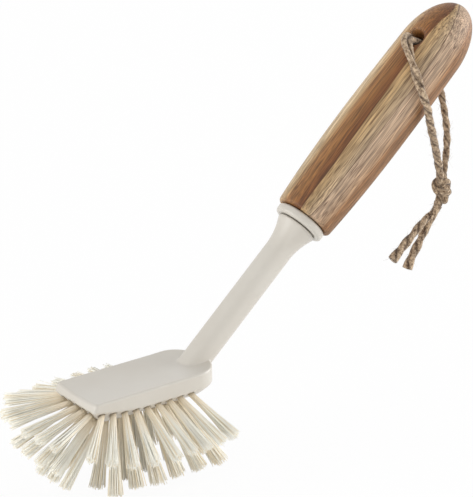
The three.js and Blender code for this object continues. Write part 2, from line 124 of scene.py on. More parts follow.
# Wood: lines as places along the handle and across it, the colours through its layers, the widths of
# its streaks, fibres and pores, the shares by which lengths are cut to stretch them, and their relief.
# The first layer colours are a painted highlight at the handle's left edge, and the last are the wood's
# orange-brown darkened further by painted shade at its right edge
GRAIN_REACH = 20
GOLDEN_LAYER = 6
DRIFT_WIDTH = 5
DRIFT_REACH = 0.7
STREAK_WIDTH = 1.8
FIBRE_WIDTH = 0.55
FIBRE_STRETCH = 0.018
PORE_WIDTH = 0.34
PORE_STRETCH = 0.03
WOOD_RELIEF = 0.12
WOOD_PORE = "#4E2F15"
WOOD_SEAM = "#4A2D16"
HEARTWOOD_EDGE = [(0, -3.4), (40, -4.1), (68, -4.6), (92, -5.0), (103, -4.3), (109, -3.2), (118, -2.7)]
SEAM_LINE = [
    (0, 1.5), (10, 2.5), (30, 3.2), (55, 3.9), (78, 3.9), (93, 3.2), (102, 2.1), (108, 0.4), (118, -2.4),
]
# Painted light: the pale first layers are a painted highlight at the handle's left edge, and the last layers
# are the wood's orange-brown darkened further as painted shade at its right edge
WOOD_LAYERS_AND_SHADING = [
    (-10.0, "#C4AC89"), (-8.2, "#B59267"), (-6.9, "#93673C"), (-4.2, "#8B5E30"), (-2.4, "#774A22"),
    (-0.3, "#643A19"), (0.0, "#AC8C61"), (2.0, "#B3956C"), (4.2, "#B29877"), (5.9, "#B69D7F"),
    (6.2, "#B89E84"), (10.0, "#B2967B"), (12.8, "#A68463"), (13.9, "#906640"), (16.0, "#875F39"),
    (20.0, "#8F6E4E"),
]

# Tufts. Droops and splays are in degrees, and a direction is steep past a share of straight down
FILAMENTS = 80
FILAMENT_DIAMETER = 0.36
FILAMENT_STATIONS = 7
FILAMENT_SIDES = 4
FILAMENT_SCATTER = 0.05
FILAMENT_BOW = 0.3
STRAY_SHARE = 0.04
STRAY_BOW = 2.8
TRIM_VARIES = 0.25
TRIM_ROUNDING = 0.4
TUFT_ROOT_RADIUS = 1.05
TUFT_TIP_RADIUS = 2.45
BELLY_TIP_RADIUS = 3.5
TUFT_TIP_VARIES = 0.25
TUFT_SPREAD_POWER = 1.15
TUFT_BOW = 0.25
# Painted shade: belly tufts' tints are cut by this share, so they are tanner where they hang in shadow
BELLY_PAINTED_SHADE = 0.45
STEEP = 0.95
ROOT_DEPTH = 1.3
TIP_DEPTH = 45
OUTER_LENGTH = 27
OUTER_Y = 13.3
OUTER_FIRST_X = 3.7
OUTER_PITCH = 5.56
OUTER_COUNT = 9
NEAR_DROOP = 32
FAR_DROOP = 10.5
FAR_BACK_DROOP = 21
FRONT_DROOP = 10
DROOP_RUN = 22
FAN_MIDDLE_X = 27
FAN_AHEAD = 24.4
FAN_BEHIND = 58.8
FRONT_X = 0.9
FRONT_YS = [-9.8, -5, 0, 5, 9.8]
FRONT_SPREAD = 23.8
LOWER_FRONT_X = 4.2
LOWER_FRONT_YS = [-7.6, -2.5, 2.5, 7.6]
LOWER_FRONT_DROOP = 27
LOWER_FRONT_LENGTH = 30
INNER_FRONT_X = 8.2
INNER_FRONT_YS = [-5, 0, 5]
INNER_FRONT_DROOP = 48
INNER_FRONT_LENGTH = 31.5
INNER_Y = 7.3
INNER_FIRST_X = 13.4
INNER_PITCH = 6.3
INNER_COUNT = 6
INNER_SPLAY = 18
INNER_TIP_DEPTH = 41.5
BELLY_MIDDLE_X = 22
BELLY_FAN = 41.7
CENTRE_FIRST_X = 14.6
CENTRE_PITCH = 7.6
CENTRE_COUNT = 5
BED_SPLIT_X = 6.4
BED_SPLIT_Y = 2.6

# Hanging loop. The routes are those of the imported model, in metres in the head's frame
CORD_DIAMETER = 3.6
CORD_STEP = 0.35
CORD_LAY = 13
TAIL_LAY = 1.3 * CORD_LAY
TWINE_RADIUS = 1.8
FAR_TWINE_SHARE = 0.9
KNOT_TWINE_SHARE = 0.92
TWINE_SIDES = 28
PLY_SHARE = 0.8
LOOSENED_LENGTH = 48
LOOSE_PLY_LOSS = 0.08
LOOSE_PLY_PARTING = 0.5
LOOSE_LAY_GAIN = 3
LUMP_HEIGHT = 0.04
LUMP_NOISE = 0.02
LUMP_RUN = 1.7
LUMP_SHIFT = 1.3
LUMP_SHIFT_RUN = 3.1
CUT_BULGE = 0.25
KNOT_WIDTH = 1.02
KNOT_HEIGHT = 1.8
KNOT_DEPTH = 1.7
KNOT_TURN = math.radians(12)
KNOT_SHIFT = [1.1, -0.5]
KNOT_LIFT = 0.47
KNOT_STATIONS = 240
WAIST_WIDTH = 2.6
WAIST_DEPTH = 2.5
WAIST_TILT = 0.9
WAIST_LIFT = 0.5
THROUGH_OFFSET = 0.8
TAIL_SPREAD = 1.34
TAIL_SPREAD_RUN = 16
LOOSE_FIBRES_PER_MM = 2.6
LOOSE_FIBRE_STATIONS = 4
LOOSE_FIBRE_SIDES = 3
LOOSE_FIBRE_LENGTHS = [1.2, 3.6]
LOOSE_FIBRE_LEANS = [0.2, 0.9]
LOOSE_FIBRE_ROOT = 0.72
LOOSE_FIBRE_CURL = 0.5
LOOSE_FIBRE_RADIUS = 0.055
LOOSE_FIBRE_TAPER = 0.7
ODD_DIRECTION = [0.31, 0.52, 0.79]
KNOT_TOP = [0.1883, -0.0090, 0.0567]
KNOT_BOTTOM = [0.1873, -0.0086, 0.0456]
NEAR_ROUTE = [
    [0.1863, 0.0000, 0.1122], [0.1821, -0.0008, 0.1162], [0.1781, -0.0015, 0.1190],
    [0.1752, -0.0019, 0.1209], [0.1723, -0.0030, 0.1223], [0.1697, -0.0047, 0.1218],
    [0.1682, -0.0074, 0.1192], [0.1675, -0.0102, 0.1156], [0.1672, -0.0131, 0.1111],
    [0.1676, -0.0157, 0.1060], [0.1688, -0.0173, 0.1005], [0.1712, -0.0175, 0.0948],
    [0.1736, -0.0163, 0.0892], [0.1765, -0.0148, 0.0828], [0.1800, -0.0132, 0.0752],
    [0.1834, -0.0116, 0.0670], [0.1856, -0.0106, 0.0614], [0.1865, -0.0103, 0.0577],
]
FAR_ROUTE = [
    [0.1865, 0.0000, 0.1120], [0.1902, 0.0008, 0.1075], [0.1928, 0.0015, 0.1035],
    [0.1941, 0.0019, 0.1007], [0.1951, 0.0017, 0.0963], [0.1956, 0.0008, 0.0912],
    [0.1960, -0.0006, 0.0854], [0.1961, -0.0022, 0.0794], [0.1954, -0.0039, 0.0737],
    [0.1941, -0.0054, 0.0678], [0.1921, -0.0069, 0.0623], [0.1905, -0.0076, 0.0577],
]
LONG_TAIL_ROUTE = [
    [0.1859, -0.0104, 0.0444], [0.1847, -0.0104, 0.0426], [0.1823, -0.0103, 0.0410],
    [0.1792, -0.0103, 0.0397], [0.1757, -0.0106, 0.0378], [0.1716, -0.0112, 0.0351],
    [0.1675, -0.0116, 0.0323], [0.1627, -0.0120, 0.0290], [0.1582, -0.0124, 0.0257],
]
SHORT_TAIL_ROUTE = [
    [0.1885, -0.0072, 0.0448], [0.1878, -0.0069, 0.0422], [0.1857, -0.0069, 0.0384],
    [0.1826, -0.0073, 0.0348], [0.1794, -0.0078, 0.0314], [0.1766, -0.0084, 0.0280],
    [0.1739, -0.0086, 0.0244], [0.1717, -0.0087, 0.0210], [0.1700, -0.0088, 0.0176],
]

# Other materials: colours, sizes and relief of their patterns, and where a filament's own shade begins
# past the painted shade at its root. The bristles' root colour and the twine's groove colour are painted
# shade
PLASTIC_COLOURS = ["#C7C0B5", "#D1CDC4"]
PLASTIC_CLOUD = 22
PLASTIC_GRAIN = 0.5
PLASTIC_RELIEF = 0.03
BRISTLE_COLOURS = ["#F5E6C8", "#FFFDF3"]
# Painted shade: the bristles turn to this tan towards the root, where the tufts enter under the head
BRISTLE_ROOT_SHADE = "#F4E5CA"
BRISTLE_ROOT_SHADE_SHARE = 0.55
BRISTLE_WHITE_FROM = 0.4
JUTE_COLOURS = ["#553C28", "#D6BD9E"]
# Painted shade: the dark colour in the groove between the plies
JUTE_GROOVE_SHADE = "#38261A"
JUTE_PATCH = 1.3
JUTE_RELIEF = 0.4
YARN_PER_TURN = 13.2
YARN_PER_MM = 0.352
STEEL_COLOURS = ["#A9ADB0", "#C9CCCE"]
STEEL_MARK = 0.3

# Light: each soft box's place in metres from the middle of the brush, its width, height and power
SOFT_BOXES = {
    "front_soft_box": [(-1.2, -1.45, 0.2), 1.4, 0.6, 5],
    "right_soft_box": [(1.76, -0.68, 0.25), 2.0, 0.8, 30],
    "left_soft_box": [(-1.65, 0.45, 0.5), 1.4, 1.2, 14],
    "back_soft_box": [(0.95, 1.3, 0.75), 1.4, 1.4, 2.5],
}
SKY_LEVEL = 0.62
FLOOR_HALF = 6
FLOOR_PLAIN_SHARE = 0.94

# Camera: where it stands round the head, and what it looks at
CAMERA_AZIMUTH = math.radians(-36.8)
CAMERA_ELEVATION = math.radians(21.3)
CAMERA_DISTANCE = 1000
CAMERA_TARGET = [82, 0, 45]
IMAGE_HEIGHT = 497
FOCAL_PIXELS = 2372
SENSOR = 36
CLIP_START = 0.05
CLIP_END = 20

axis_along = np.array([math.cos(AXIS_RISE), 0, math.sin(AXIS_RISE)])
axis_up = np.array([-math.sin(AXIS_RISE), 0, math.cos(AXIS_RISE)])
axis_far = np.array([0.0, 1.0, 0.0])
axis_start = np.array([AXIS_X, 0, 0])
collar_start = FLARE_END + FIT_GAP
handle_start = collar_start + COLLAR_WIDTH + FIT_GAP

# The collar ring's middle is known in both frames, and gives the head frame's origin
collar_box = np.array(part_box("collar_ring"))
collar_middle = axis_start + (collar_start + COLLAR_WIDTH / 2) * axis_along
head_origin = collar_box.mean(axis=0) - collar_middle * MM


def to_row(points):
    """Millimetres in the head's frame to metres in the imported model's frame."""
    return np.asarray(points, float) * MM + head_origin


def on_axis(points):
    """From the handle's own frame, which is up, far and along, to the head's frame."""
    basis = np.stack([axis_up, axis_far, axis_along])
    return points @ basis + axis_start


def unit(vectors):
    """The vectors divided by their lengths."""
    return vectors / np.linalg.norm(vectors, axis=-1, keepdims=True)


def linear(code):
    """A hex sRGB colour as linear RGBA: each channel c becomes ((c + 0.055) / 1.055) ** 2.4, or
    c / 12.92 where it is nearly black."""
    channels = [int(code[i:i + 2], 16) / 255 for i in (1, 3, 5)]
    return [c / 12.92 if c < 0.04045 else ((c + 0.055) / 1.055) ** 2.4 for c in channels] + [1.0]


# Meshes

def outward(points, faces):
    """The faces, turned round if the volume that they close is negative."""
    volume = 0.0
    for group in faces:
        a = points[group[:, 0]]
        for i in range(1, group.shape[1] - 1):
            volume += np.einsum("ij,ij->", a, np.cross(points[group[:, i]], points[group[:, i + 1]]))
    return faces if volume > 0 else [group[:, ::-1] for group in faces]


def piece(name, points, faces, body, material, attributes=None):
    """A smooth closed mesh from points in the head's frame and arrays of faces, riding on a body."""
    points = np.asarray(points, float).reshape(-1, 3)
    faces = outward(points, faces)
    mesh = bpy.data.meshes.new(name)
    mesh.vertices.add(len(points))
    mesh.vertices.foreach_set("co", to_row(points).ravel())
    mesh.loops.add(sum(group.size for group in faces))
    mesh.loops.foreach_set("vertex_index", np.concatenate([group.ravel() for group in faces]))
    widths = np.concatenate([np.full(len(group), group.shape[1]) for group in faces])
    mesh.polygons.add(len(widths))
    mesh.polygons.foreach_set("loop_start", np.concatenate([[0], np.cumsum(widths)[:-1]]))
    mesh.polygons.foreach_set("use_smooth", np.ones(len(widths), bool))
    for key, values in (attributes or {}).items():
        layer = mesh.attributes.new(key, "FLOAT", "POINT")
        layer.data.foreach_set("value", np.asarray(values, float).ravel())
    mesh.update(calc_edges=True)
    mesh.validate()
    mesh.materials.append(material)
    obj = bpy.data.objects.new(name, mesh)
    bpy.context.collection.objects.link(obj)
    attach(obj, body)
    return obj


def band_faces(stations, around, copies=1):
    """Quads between rings of points: ring r, place i joins ring r + 1, place i + 1, for each copy."""
    r = np.arange(stations - 1)[:, None] * around
    i = np.arange(around)[None, :]
    j = (i + 1) % around
    quads = np.stack([r + i, r + j, r + around + j, r + around + i], axis=-1).reshape(-1, 4)
    return (quads[None] + np.arange(copies)[:, None, None] * stations * around).reshape(-1, 4)


def closed_band(stations, around):
    """Quads of a ring of rings, whose last ring joins its first."""
    return [band_faces(stations + 1, around) % (stations * around)]


def prisms(centre, across, up, radius, sides):
    """Closed thin prisms round lines of points, in bundles that share two directions square to them.
    Centre is indexed by bundle, line and station. Returns points and faces."""
    bundles, lines, stations = centre.shape[:3]
    angles = np.arange(sides) * 2 * math.pi / sides
    ring = np.cos(angles)[:, None] * across[:, None] + np.sin(angles)[:, None] * up[:, None]
    points = centre[:, :, :, None] + ring[:, None, None] * radius
    total = bundles * lines
    first = np.arange(total)[:, None] * stations * sides
    end = np.arange(sides)
    last = first + (stations - 1) * sides
    return points, [band_faces(stations, sides, total), first + end[::-1], last + end]


def lattice_surface(field, low, high, step):
    """The zero surface of a field that is negative inside. Each lattice cell that it crosses gets one
    point, the mean of the crossings on the cell's edges. Each lattice edge that it crosses gets one
    quad between the four cells round it. The points then slide down the field's gradient to zero."""
    axes = [np.arange(a, b + step, step) for a, b in zip(low, high)]
    shape = tuple(len(a) for a in axes)
    grid = np.stack(np.meshgrid(*axes, indexing="ij"), axis=-1)
    value = field(grid.reshape(-1, 3)).reshape(shape)
    total = np.zeros(shape + (3,))
    count = np.zeros(shape)
    crossings = []
    for axis in range(3):
        first = [slice(None)] * 3
        second = [slice(None)] * 3
        first[axis] = slice(0, -1)
        second[axis] = slice(1, None)
        a = value[tuple(first)]
        b = value[tuple(second)]
        at = np.argwhere((a < 0) != (b < 0))
        va = a[tuple(at.T)]
        vb = b[tuple(at.T)]
        point = grid[tuple(at.T)].copy()
        point[:, axis] += step * va / (va - vb)
        other = [k for k in range(3) if k != axis]
        cells = []
        for da, db in ((0, 0), (-1, 0), (-1, -1), (0, -1)):
            cell = at.copy()
            cell[:, other[0]] += da
            cell[:, other[1]] += db
            np.add.at(total, tuple(cell.T), point)
            np.add.at(count, tuple(cell.T), 1)
            cells.append(cell)
        inward = (va < 0) == (axis == 1)
        crossings.append((cells, inward))
    used = count > 0
    index = np.cumsum(used.ravel()).reshape(shape) - 1
    points = total[used] / count[used][:, None]
    quads = []
    for cells, inward in crossings:
        quad = np.stack([index[tuple(cell.T)] for cell in cells], axis=-1)
        quad[inward] = quad[inward][:, ::-1]
        quads.append(quad)
    nudge = step * NUDGE_SHARE
    offsets = np.eye(3) * nudge
    for _ in range(SLIDES):
        slope = np.stack([field(points + o) - field(points - o) for o in offsets], axis=-1) / (2 * nudge)
        steep = np.maximum((slope ** 2).sum(axis=1), LEAST_SLOPE)
        move = (field(points) / steep)[:, None] * slope
        points = points - np.clip(move, -step, step)
    return points, [np.concatenate(quads)]


# Fields

def smooth_max(a, b, width):
    """The larger of two fields, rounded by a parabola where they are within a width of each other."""
    near = np.maximum(width - np.abs(a - b), 0) / width
    return np.maximum(a, b) + near * near * width / 4


def smooth_min(a, b, width):
    """The smaller of two fields, with the same rounding, which is a fillet between two solids."""
    return -smooth_max(-a, -b, width)


def domed(along, across, half, start, length):
    """About the distance outside a bar of that half width, whose end past start is half an ellipse:
    hypot((along - start) / length, across / half) less 1, divided by its gradient."""
    a = np.maximum(along - start, 0) / length
    c = np.maximum(across, TINY) / half
    reach = np.hypot(a, c)
    return (reach - 1) * reach / np.hypot(a / length, c / half)


def underside(x, y):
    """Depth of the head's underside: a parabola across each line from the keel to the edge, from the
    keel's depth to the rim's, which grows back along the sides as a quarter sine."""
    straight = HEAD_LENGTH - BACK_ROUNDING
    side = np.abs(y) / (HEAD_WIDTH / 2)
    ahead = (KEEL_FRONT - x) / (KEEL_FRONT + FRONT_RAKE)
    behind = np.hypot(np.maximum(0, x - straight) / BACK_ROUNDING, side)
    share = np.maximum(np.maximum(side, ahead), np.maximum(behind, TINY))
    keel = np.clip(x, KEEL_FRONT, straight)
    run = np.clip((keel + (x - keel) / share) / RIM_RUN, 0, 1)
    rim = RIM_FRONT + (RIM_SIDE - RIM_FRONT) * np.sin(run * math.pi / 2)
    return rim + (BELLY_DEPTH - rim) * (1 - share ** 2)


def head_field(p):
    """The block of the head: its plan outline, the raked front wall, the plate, slightly dished as
    a parabola across it, with a bevelled edge, and the parabolic underside."""
    x, y, z = p.T
    sides = domed(x, np.abs(y), HEAD_WIDTH / 2, HEAD_LENGTH - BACK_ROUNDING, BACK_ROUNDING)
    lean = FRONT_RAKE / (RIM_FRONT - EDGE_BEVEL)
    front = (-x + (z + EDGE_BEVEL) * lean) / math.hypot(1, lean)
    wall = smooth_max(sides, front, CORNER_ROUNDING)
    ramp = np.maximum(0, x - RAMP_START) / (HEAD_LENGTH - RAMP_START)
    dish = PLATE_DISH * (0.5 - (y / (HEAD_WIDTH / 2)) ** 2)
    top = z - RAMP_RISE * ramp ** 2 + dish
    bevel = (wall + top + EDGE_BEVEL) * math.sqrt(0.5)
    bottom = (-z - underside(x, y)) / UNDERSIDE_SLOPE
    upper = smooth_max(smooth_max(wall, top, EDGE_SOFTNESS), bevel, EDGE_SOFTNESS)
    return smooth_max(upper, bottom, EDGE_SOFTNESS)


def neck_field(p):
    """The neck and tang along the handle's axis: a superellipse whose width grows and whose power
    falls to 2 over the flare, and a round tang."""
    away = p - axis_start
    t = away @ axis_along
    up = np.abs(away @ axis_up)
    side = np.abs(p[:, 1])
    flare = np.clip((t - FLARE_START) / (FLARE_END - FLARE_START), 0, 1)
    half = NECK_SIDE / 2 + (FLARE_DIAMETER - NECK_SIDE) / 2 * flare ** FLARE_POWER
    power = NECK_SQUARENESS + (2 - NECK_SQUARENESS) * flare
    round_square = (up ** power + side ** power) ** (1 / power) - half
    ends = np.maximum(t - FLARE_END - FLARE_LIP, -NECK_ROOT - t)
    neck = smooth_max(round_square, ends, FLARE_EDGE)
    tang = np.maximum(np.hypot(up, side) - TANG_DIAMETER / 2, np.abs(t - FLARE_END) - TANG_LENGTH)
    return np.where(t > FLARE_START, np.minimum(neck, np.maximum(tang, TANG_START - t)), neck)


def moulding_field(p):
    """Head and neck with a fillet between them, less a round socket at the root of each tuft."""
    body = smooth_min(head_field(p), neck_field(p), NECK_FILLET)
    for root, direction in zip(tuft_roots, tuft_directions):
        away = p - root
        close = np.flatnonzero((np.abs(away) < 2 * SOCKET_DIAMETER).all(axis=1))
        along = away[close] @ direction
        radial = np.linalg.norm(away[close] - along[:, None] * direction, axis=1)
        socket = np.maximum(radial - SOCKET_DIAMETER / 2, -SOCKET_DEPTH - along)
        body[close] = smooth_max(body[close], -socket, SOCKET_EDGE)
    return body


def handle_field(p):
    """The turned handle in its own frame: a cubic through its four diameters, half an ellipse at the
    butt, a rounded lip, the bore for the tang, and the cord's hole with rounded mouths."""
    up, far, t = p.T
    cubic = np.polyfit(HANDLE_STATIONS, np.array(HANDLE_DIAMETERS) / 2, 3)
    dome_start = HANDLE_LENGTH - BUTT_LENGTH
    half = np.polyval(cubic, np.clip(t, 0, dome_start))
    radius = np.hypot(up, far)
    turned = domed(t, radius, half, dome_start, BUTT_LENGTH)
    turned = smooth_max(turned, -t, 2 * LIP_ROUNDING)
    bore = np.maximum(radius - TANG_DIAMETER / 2 - FIT_GAP, t - TANG_LENGTH)
    turned = np.maximum(turned, -bore)
    across = up * math.sin(HOLE_TURN) + far * math.cos(HOLE_TURN)
    hole = np.hypot(across, t - HANDLE_LENGTH + HOLE_FROM_BUTT) - HOLE_DIAMETER / 2
    return smooth_max(turned, -hole, 2 * HOLE_MOUTH)


# Tufts

def pointing(forward, sideways, droop):
    """Unit directions: level towards (-forward, sideways), then turned down by droop degrees."""
    forward, sideways, droop = np.broadcast_arrays(forward, sideways, np.radians(droop))
    level = unit(np.stack([-forward, sideways, 0 * forward], axis=-1)) * np.cos(droop)[..., None]
    level[..., 2] = -np.sin(droop)
    return level


def outer_tufts(side):
    """Roots and directions of one side's outer row, which fans forward at the front. The far row is
    spread wider than the near one, as in the photograph."""
    x = OUTER_FIRST_X + OUTER_PITCH * np.arange(OUTER_COUNT)
    lean = (FAN_MIDDLE_X - x) / np.where(x < FAN_MIDDLE_X, FAN_AHEAD, FAN_BEHIND)
    turn = np.sin(np.clip(x / DROOP_RUN, 0, 1) * math.pi / 2)
    back = np.clip((x - FAN_MIDDLE_X) / (x[-1] - FAN_MIDDLE_X), 0, 1) ** 2
    side_droop = NEAR_DROOP if side < 0 else FAR_DROOP + (FAR_BACK_DROOP - FAR_DROOP) * back
    droop = FRONT_DROOP + (side_droop - FRONT_DROOP) * turn
    return np.stack([x, 0 * x + side * OUTER_Y], axis=-1), pointing(lean, side, droop)


def front_tufts(x, ys, droop):
    """Roots and directions of one front row, spread sideways."""
    y = np.array(ys, float)
    return np.stack([0 * y + x, y], axis=-1), pointing(1.0, y / FRONT_SPREAD, droop)


def hanging_tufts(first_x, pitch, count, y, splay):
    """Roots and directions of a row that hangs from the belly, leaning out by splay degrees."""
    x = first_x + pitch * np.arange(count)
    lean = (x - BELLY_MIDDLE_X) / BELLY_FAN
    sideways = np.sign(y) * math.tan(math.radians(splay))
    down = np.stack([lean, 0 * x + sideways, 0 * x - 1], axis=-1)
    return np.stack([x, 0 * x + y], axis=-1), unit(down)


# Each row has either a length from root to tip or a depth of its tips below the plate
tuft_rows = [
    (front_tufts(FRONT_X, FRONT_YS, FRONT_DROOP), OUTER_LENGTH, 0),
    (front_tufts(LOWER_FRONT_X, LOWER_FRONT_YS, LOWER_FRONT_DROOP), LOWER_FRONT_LENGTH, 0),
    (front_tufts(INNER_FRONT_X, INNER_FRONT_YS, INNER_FRONT_DROOP), INNER_FRONT_LENGTH, 0),
    (outer_tufts(-1), OUTER_LENGTH, 0),
    (outer_tufts(1), OUTER_LENGTH, 0),
    (hanging_tufts(INNER_FIRST_X, INNER_PITCH, INNER_COUNT, -INNER_Y, INNER_SPLAY), 0, INNER_TIP_DEPTH),
    (hanging_tufts(INNER_FIRST_X, INNER_PITCH, INNER_COUNT, INNER_Y, INNER_SPLAY), 0, INNER_TIP_DEPTH),
    (hanging_tufts(CENTRE_FIRST_X, CENTRE_PITCH, CENTRE_COUNT, 0, 0), 0, TIP_DEPTH),
]
tuft_plan = np.concatenate([places for (places, _), _, _ in tuft_rows])
tuft_directions = np.concatenate([directions for (_, directions), _, _ in tuft_rows])
tuft_roots = np.column_stack([tuft_plan, -underside(tuft_plan[:, 0], tuft_plan[:, 1])])
row_of_tuft = np.repeat(np.arange(len(tuft_rows)), [len(places) for (places, _), _, _ in tuft_rows])
given_lengths = np.array([length for _, length, _ in tuft_rows])[row_of_tuft]
given_depths = np.array([depth for _, _, depth in tuft_rows])[row_of_tuft]
hanging_lengths = (given_depths + tuft_roots[:, 2]) / -tuft_directions[:, 2]
tuft_lengths = np.where(given_lengths > 0, given_lengths, hanging_lengths)


def filaments(chosen):
    """The filaments of the chosen tufts, as prisms. They start on a sunflower pattern over the root, fan
    out to a wider one at the cut end, and each bows off its straight line with the square of the way
    along. None goes below the deepest tips. Belly tufts are painted tanner, as painted shade for the
    tufts that hang in shadow between the outer rows. Returns the points, the faces, and each point's
    way along and its filament's tint, which is its own random tone and, in the belly, painted shade."""
    roots = tuft_roots[chosen]
    directions = tuft_directions[chosen]
    count = len(roots)
    steep = np.abs(directions[:, 2:]) > STEEP
    across = unit(np.cross(directions, np.where(steep, axis_far, [0, 0, 1])))
    up = np.cross(directions, across)
    k = np.arange(FILAMENTS)
    turn = k * math.pi * (3 - math.sqrt(5)) + rng.uniform(0, 2 * math.pi, (count, 1))
    spot = np.sqrt((k + 0.5) / FILAMENTS)
    disc = (np.cos(turn) * spot)[..., None] * across[:, None]
    disc = disc + (np.sin(turn) * spot)[..., None] * up[:, None]
    disc = disc + rng.normal(0, FILAMENT_SCATTER, disc.shape)
    f = np.linspace(0, 1, FILAMENT_STATIONS)
    belly = given_depths[chosen] > 0
    tip_radius = np.where(belly, BELLY_TIP_RADIUS, TUFT_TIP_RADIUS)[:, None]
    tip_radius = tip_radius + rng.normal(0, TUFT_TIP_VARIES, (count, 1))
    spread = TUFT_ROOT_RADIUS + (tip_radius - TUFT_ROOT_RADIUS) * f ** TUFT_SPREAD_POWER
    stray = np.where(rng.random((count, FILAMENTS, 1)) < STRAY_SHARE, STRAY_BOW, 1.0)
    bow = rng.normal(0, FILAMENT_BOW, (count, FILAMENTS, 3)) * stray
    bow = bow + rng.normal(0, TUFT_BOW, (count, 1, 3))
    trim = rng.normal(0, TRIM_VARIES, (count, FILAMENTS)) - TRIM_ROUNDING * spot ** 4
    reach = tuft_lengths[chosen][:, None] + ROOT_DEPTH + trim
    centre = (
        (roots - ROOT_DEPTH * directions)[:, None, None]
        + (reach[:, :, None] * f)[..., None] * directions[:, None, None]
        + disc[:, :, None] * spread[:, None, :, None]
        + bow[:, :, None] * (f ** 2)[:, None]
    )
    centre[..., 2] = np.maximum(centre[..., 2], FILAMENT_DIAMETER / 2 - TIP_DEPTH)
    points, faces = prisms(centre, across, up, FILAMENT_DIAMETER / 2, FILAMENT_SIDES)
    along = np.broadcast_to(f[:, None], points.shape[:-1])
    # Painted shade: belly filaments get tanner tints, for the shadow between the outer rows
    share = np.where(belly, BELLY_PAINTED_SHADE, 1.0)[:, None, None, None]
    tint_and_shade = np.broadcast_to(rng.random((count, FILAMENTS, 1, 1)) * share, along.shape)
    return points, faces, {"along": along, "tint_and_shade": tint_and_shade}


# Turned pieces

def collar_ring():
    """A ring turned about the handle's axis: its section is a flat bore, and an outer face whose two
    edges are quarter rounds. It is set back to leave room for the flare's lip."""
    bore = TANG_DIAMETER / 2 + FIT_GAP
    outer = COLLAR_DIAMETER / 2 - COLLAR_BEAD
    width = COLLAR_WIDTH - COLLAR_SET_BACK
    a = np.linspace(0, math.pi / 2, COLLAR_BEAD_POINTS)
    radius = np.concatenate([
        [bore], outer + COLLAR_BEAD * np.sin(a), outer + COLLAR_BEAD * np.cos(a), [bore]])[:, None]
    height = np.concatenate([
        [0], COLLAR_BEAD * (1 - np.cos(a)), width - COLLAR_BEAD * (1 - np.sin(a)), [width]])[:, None]
    turn = np.arange(COLLAR_SIDES) * 2 * math.pi / COLLAR_SIDES
    along = height + collar_start + COLLAR_SET_BACK + 0 * turn
    points = np.stack([radius * np.cos(turn), radius * np.sin(turn), along], axis=-1)
    return on_axis(points), closed_band(len(radius), COLLAR_SIDES)


# Twine

def smooth_path(route, step):
    """Points along a natural cubic spline through the route, about a step apart. The second
    derivatives solve the usual three-term equations on the chord lengths."""
    knots = np.asarray(route, float)
    gaps = np.linalg.norm(np.diff(knots, axis=0), axis=1)
    where = np.concatenate([[0], np.cumsum(gaps)])
    count = len(knots)
    system = np.eye(count)
    inner = np.arange(1, count - 1)
    system[inner, inner - 1] = gaps[:-1]
    system[inner, inner] = 2 * (gaps[:-1] + gaps[1:])
    system[inner, inner + 1] = gaps[1:]
    slopes = np.diff(knots, axis=0) / gaps[:, None]
    right = np.zeros((count, 3))
    right[1:-1] = 6 * np.diff(slopes, axis=0)
    bend = np.linalg.solve(system, right)
    s = np.linspace(0, where[-1], max(3, int(round(where[-1] / step)) + 1))
    k = np.clip(np.searchsorted(where, s, side="right") - 1, 0, count - 2)
    h = gaps[k][:, None]
    a = ((where[k + 1] - s) / gaps[k])[:, None]
    b = 1 - a
    curve = a * knots[k] + b * knots[k + 1]
    return curve + ((a ** 3 - a) * bend[k] + (b ** 3 - b) * bend[k + 1]) * h ** 2 / 6


def path_frames(path, closed=False):
    """Unit tangents and two normals at each point, the first normal square to a fixed direction."""
    if closed:
        tangent = unit(np.roll(path, -1, axis=0) - np.roll(path, 1, axis=0))
    else:
        tangent = unit(np.gradient(path, axis=0))
    normal = unit(np.cross(tangent, axis_far))
    return tangent, normal, np.cross(tangent, normal)


def twine_section(turn, loose):
    """Outline of two round plies side by side, as a share of the cord's radius: the distance from the
    middle to the edge of a circle of radius a whose middle lies b away, for the nearer ply. Tight
    plies have a + b = 1, and loose ones lie further apart."""
    ply = PLY_SHARE - LOOSE_PLY_LOSS * loose
    off = 1 - PLY_SHARE + LOOSE_PLY_PARTING * loose
    return off * np.abs(np.cos(turn)) + np.sqrt(ply ** 2 - (off * np.sin(turn)) ** 2)


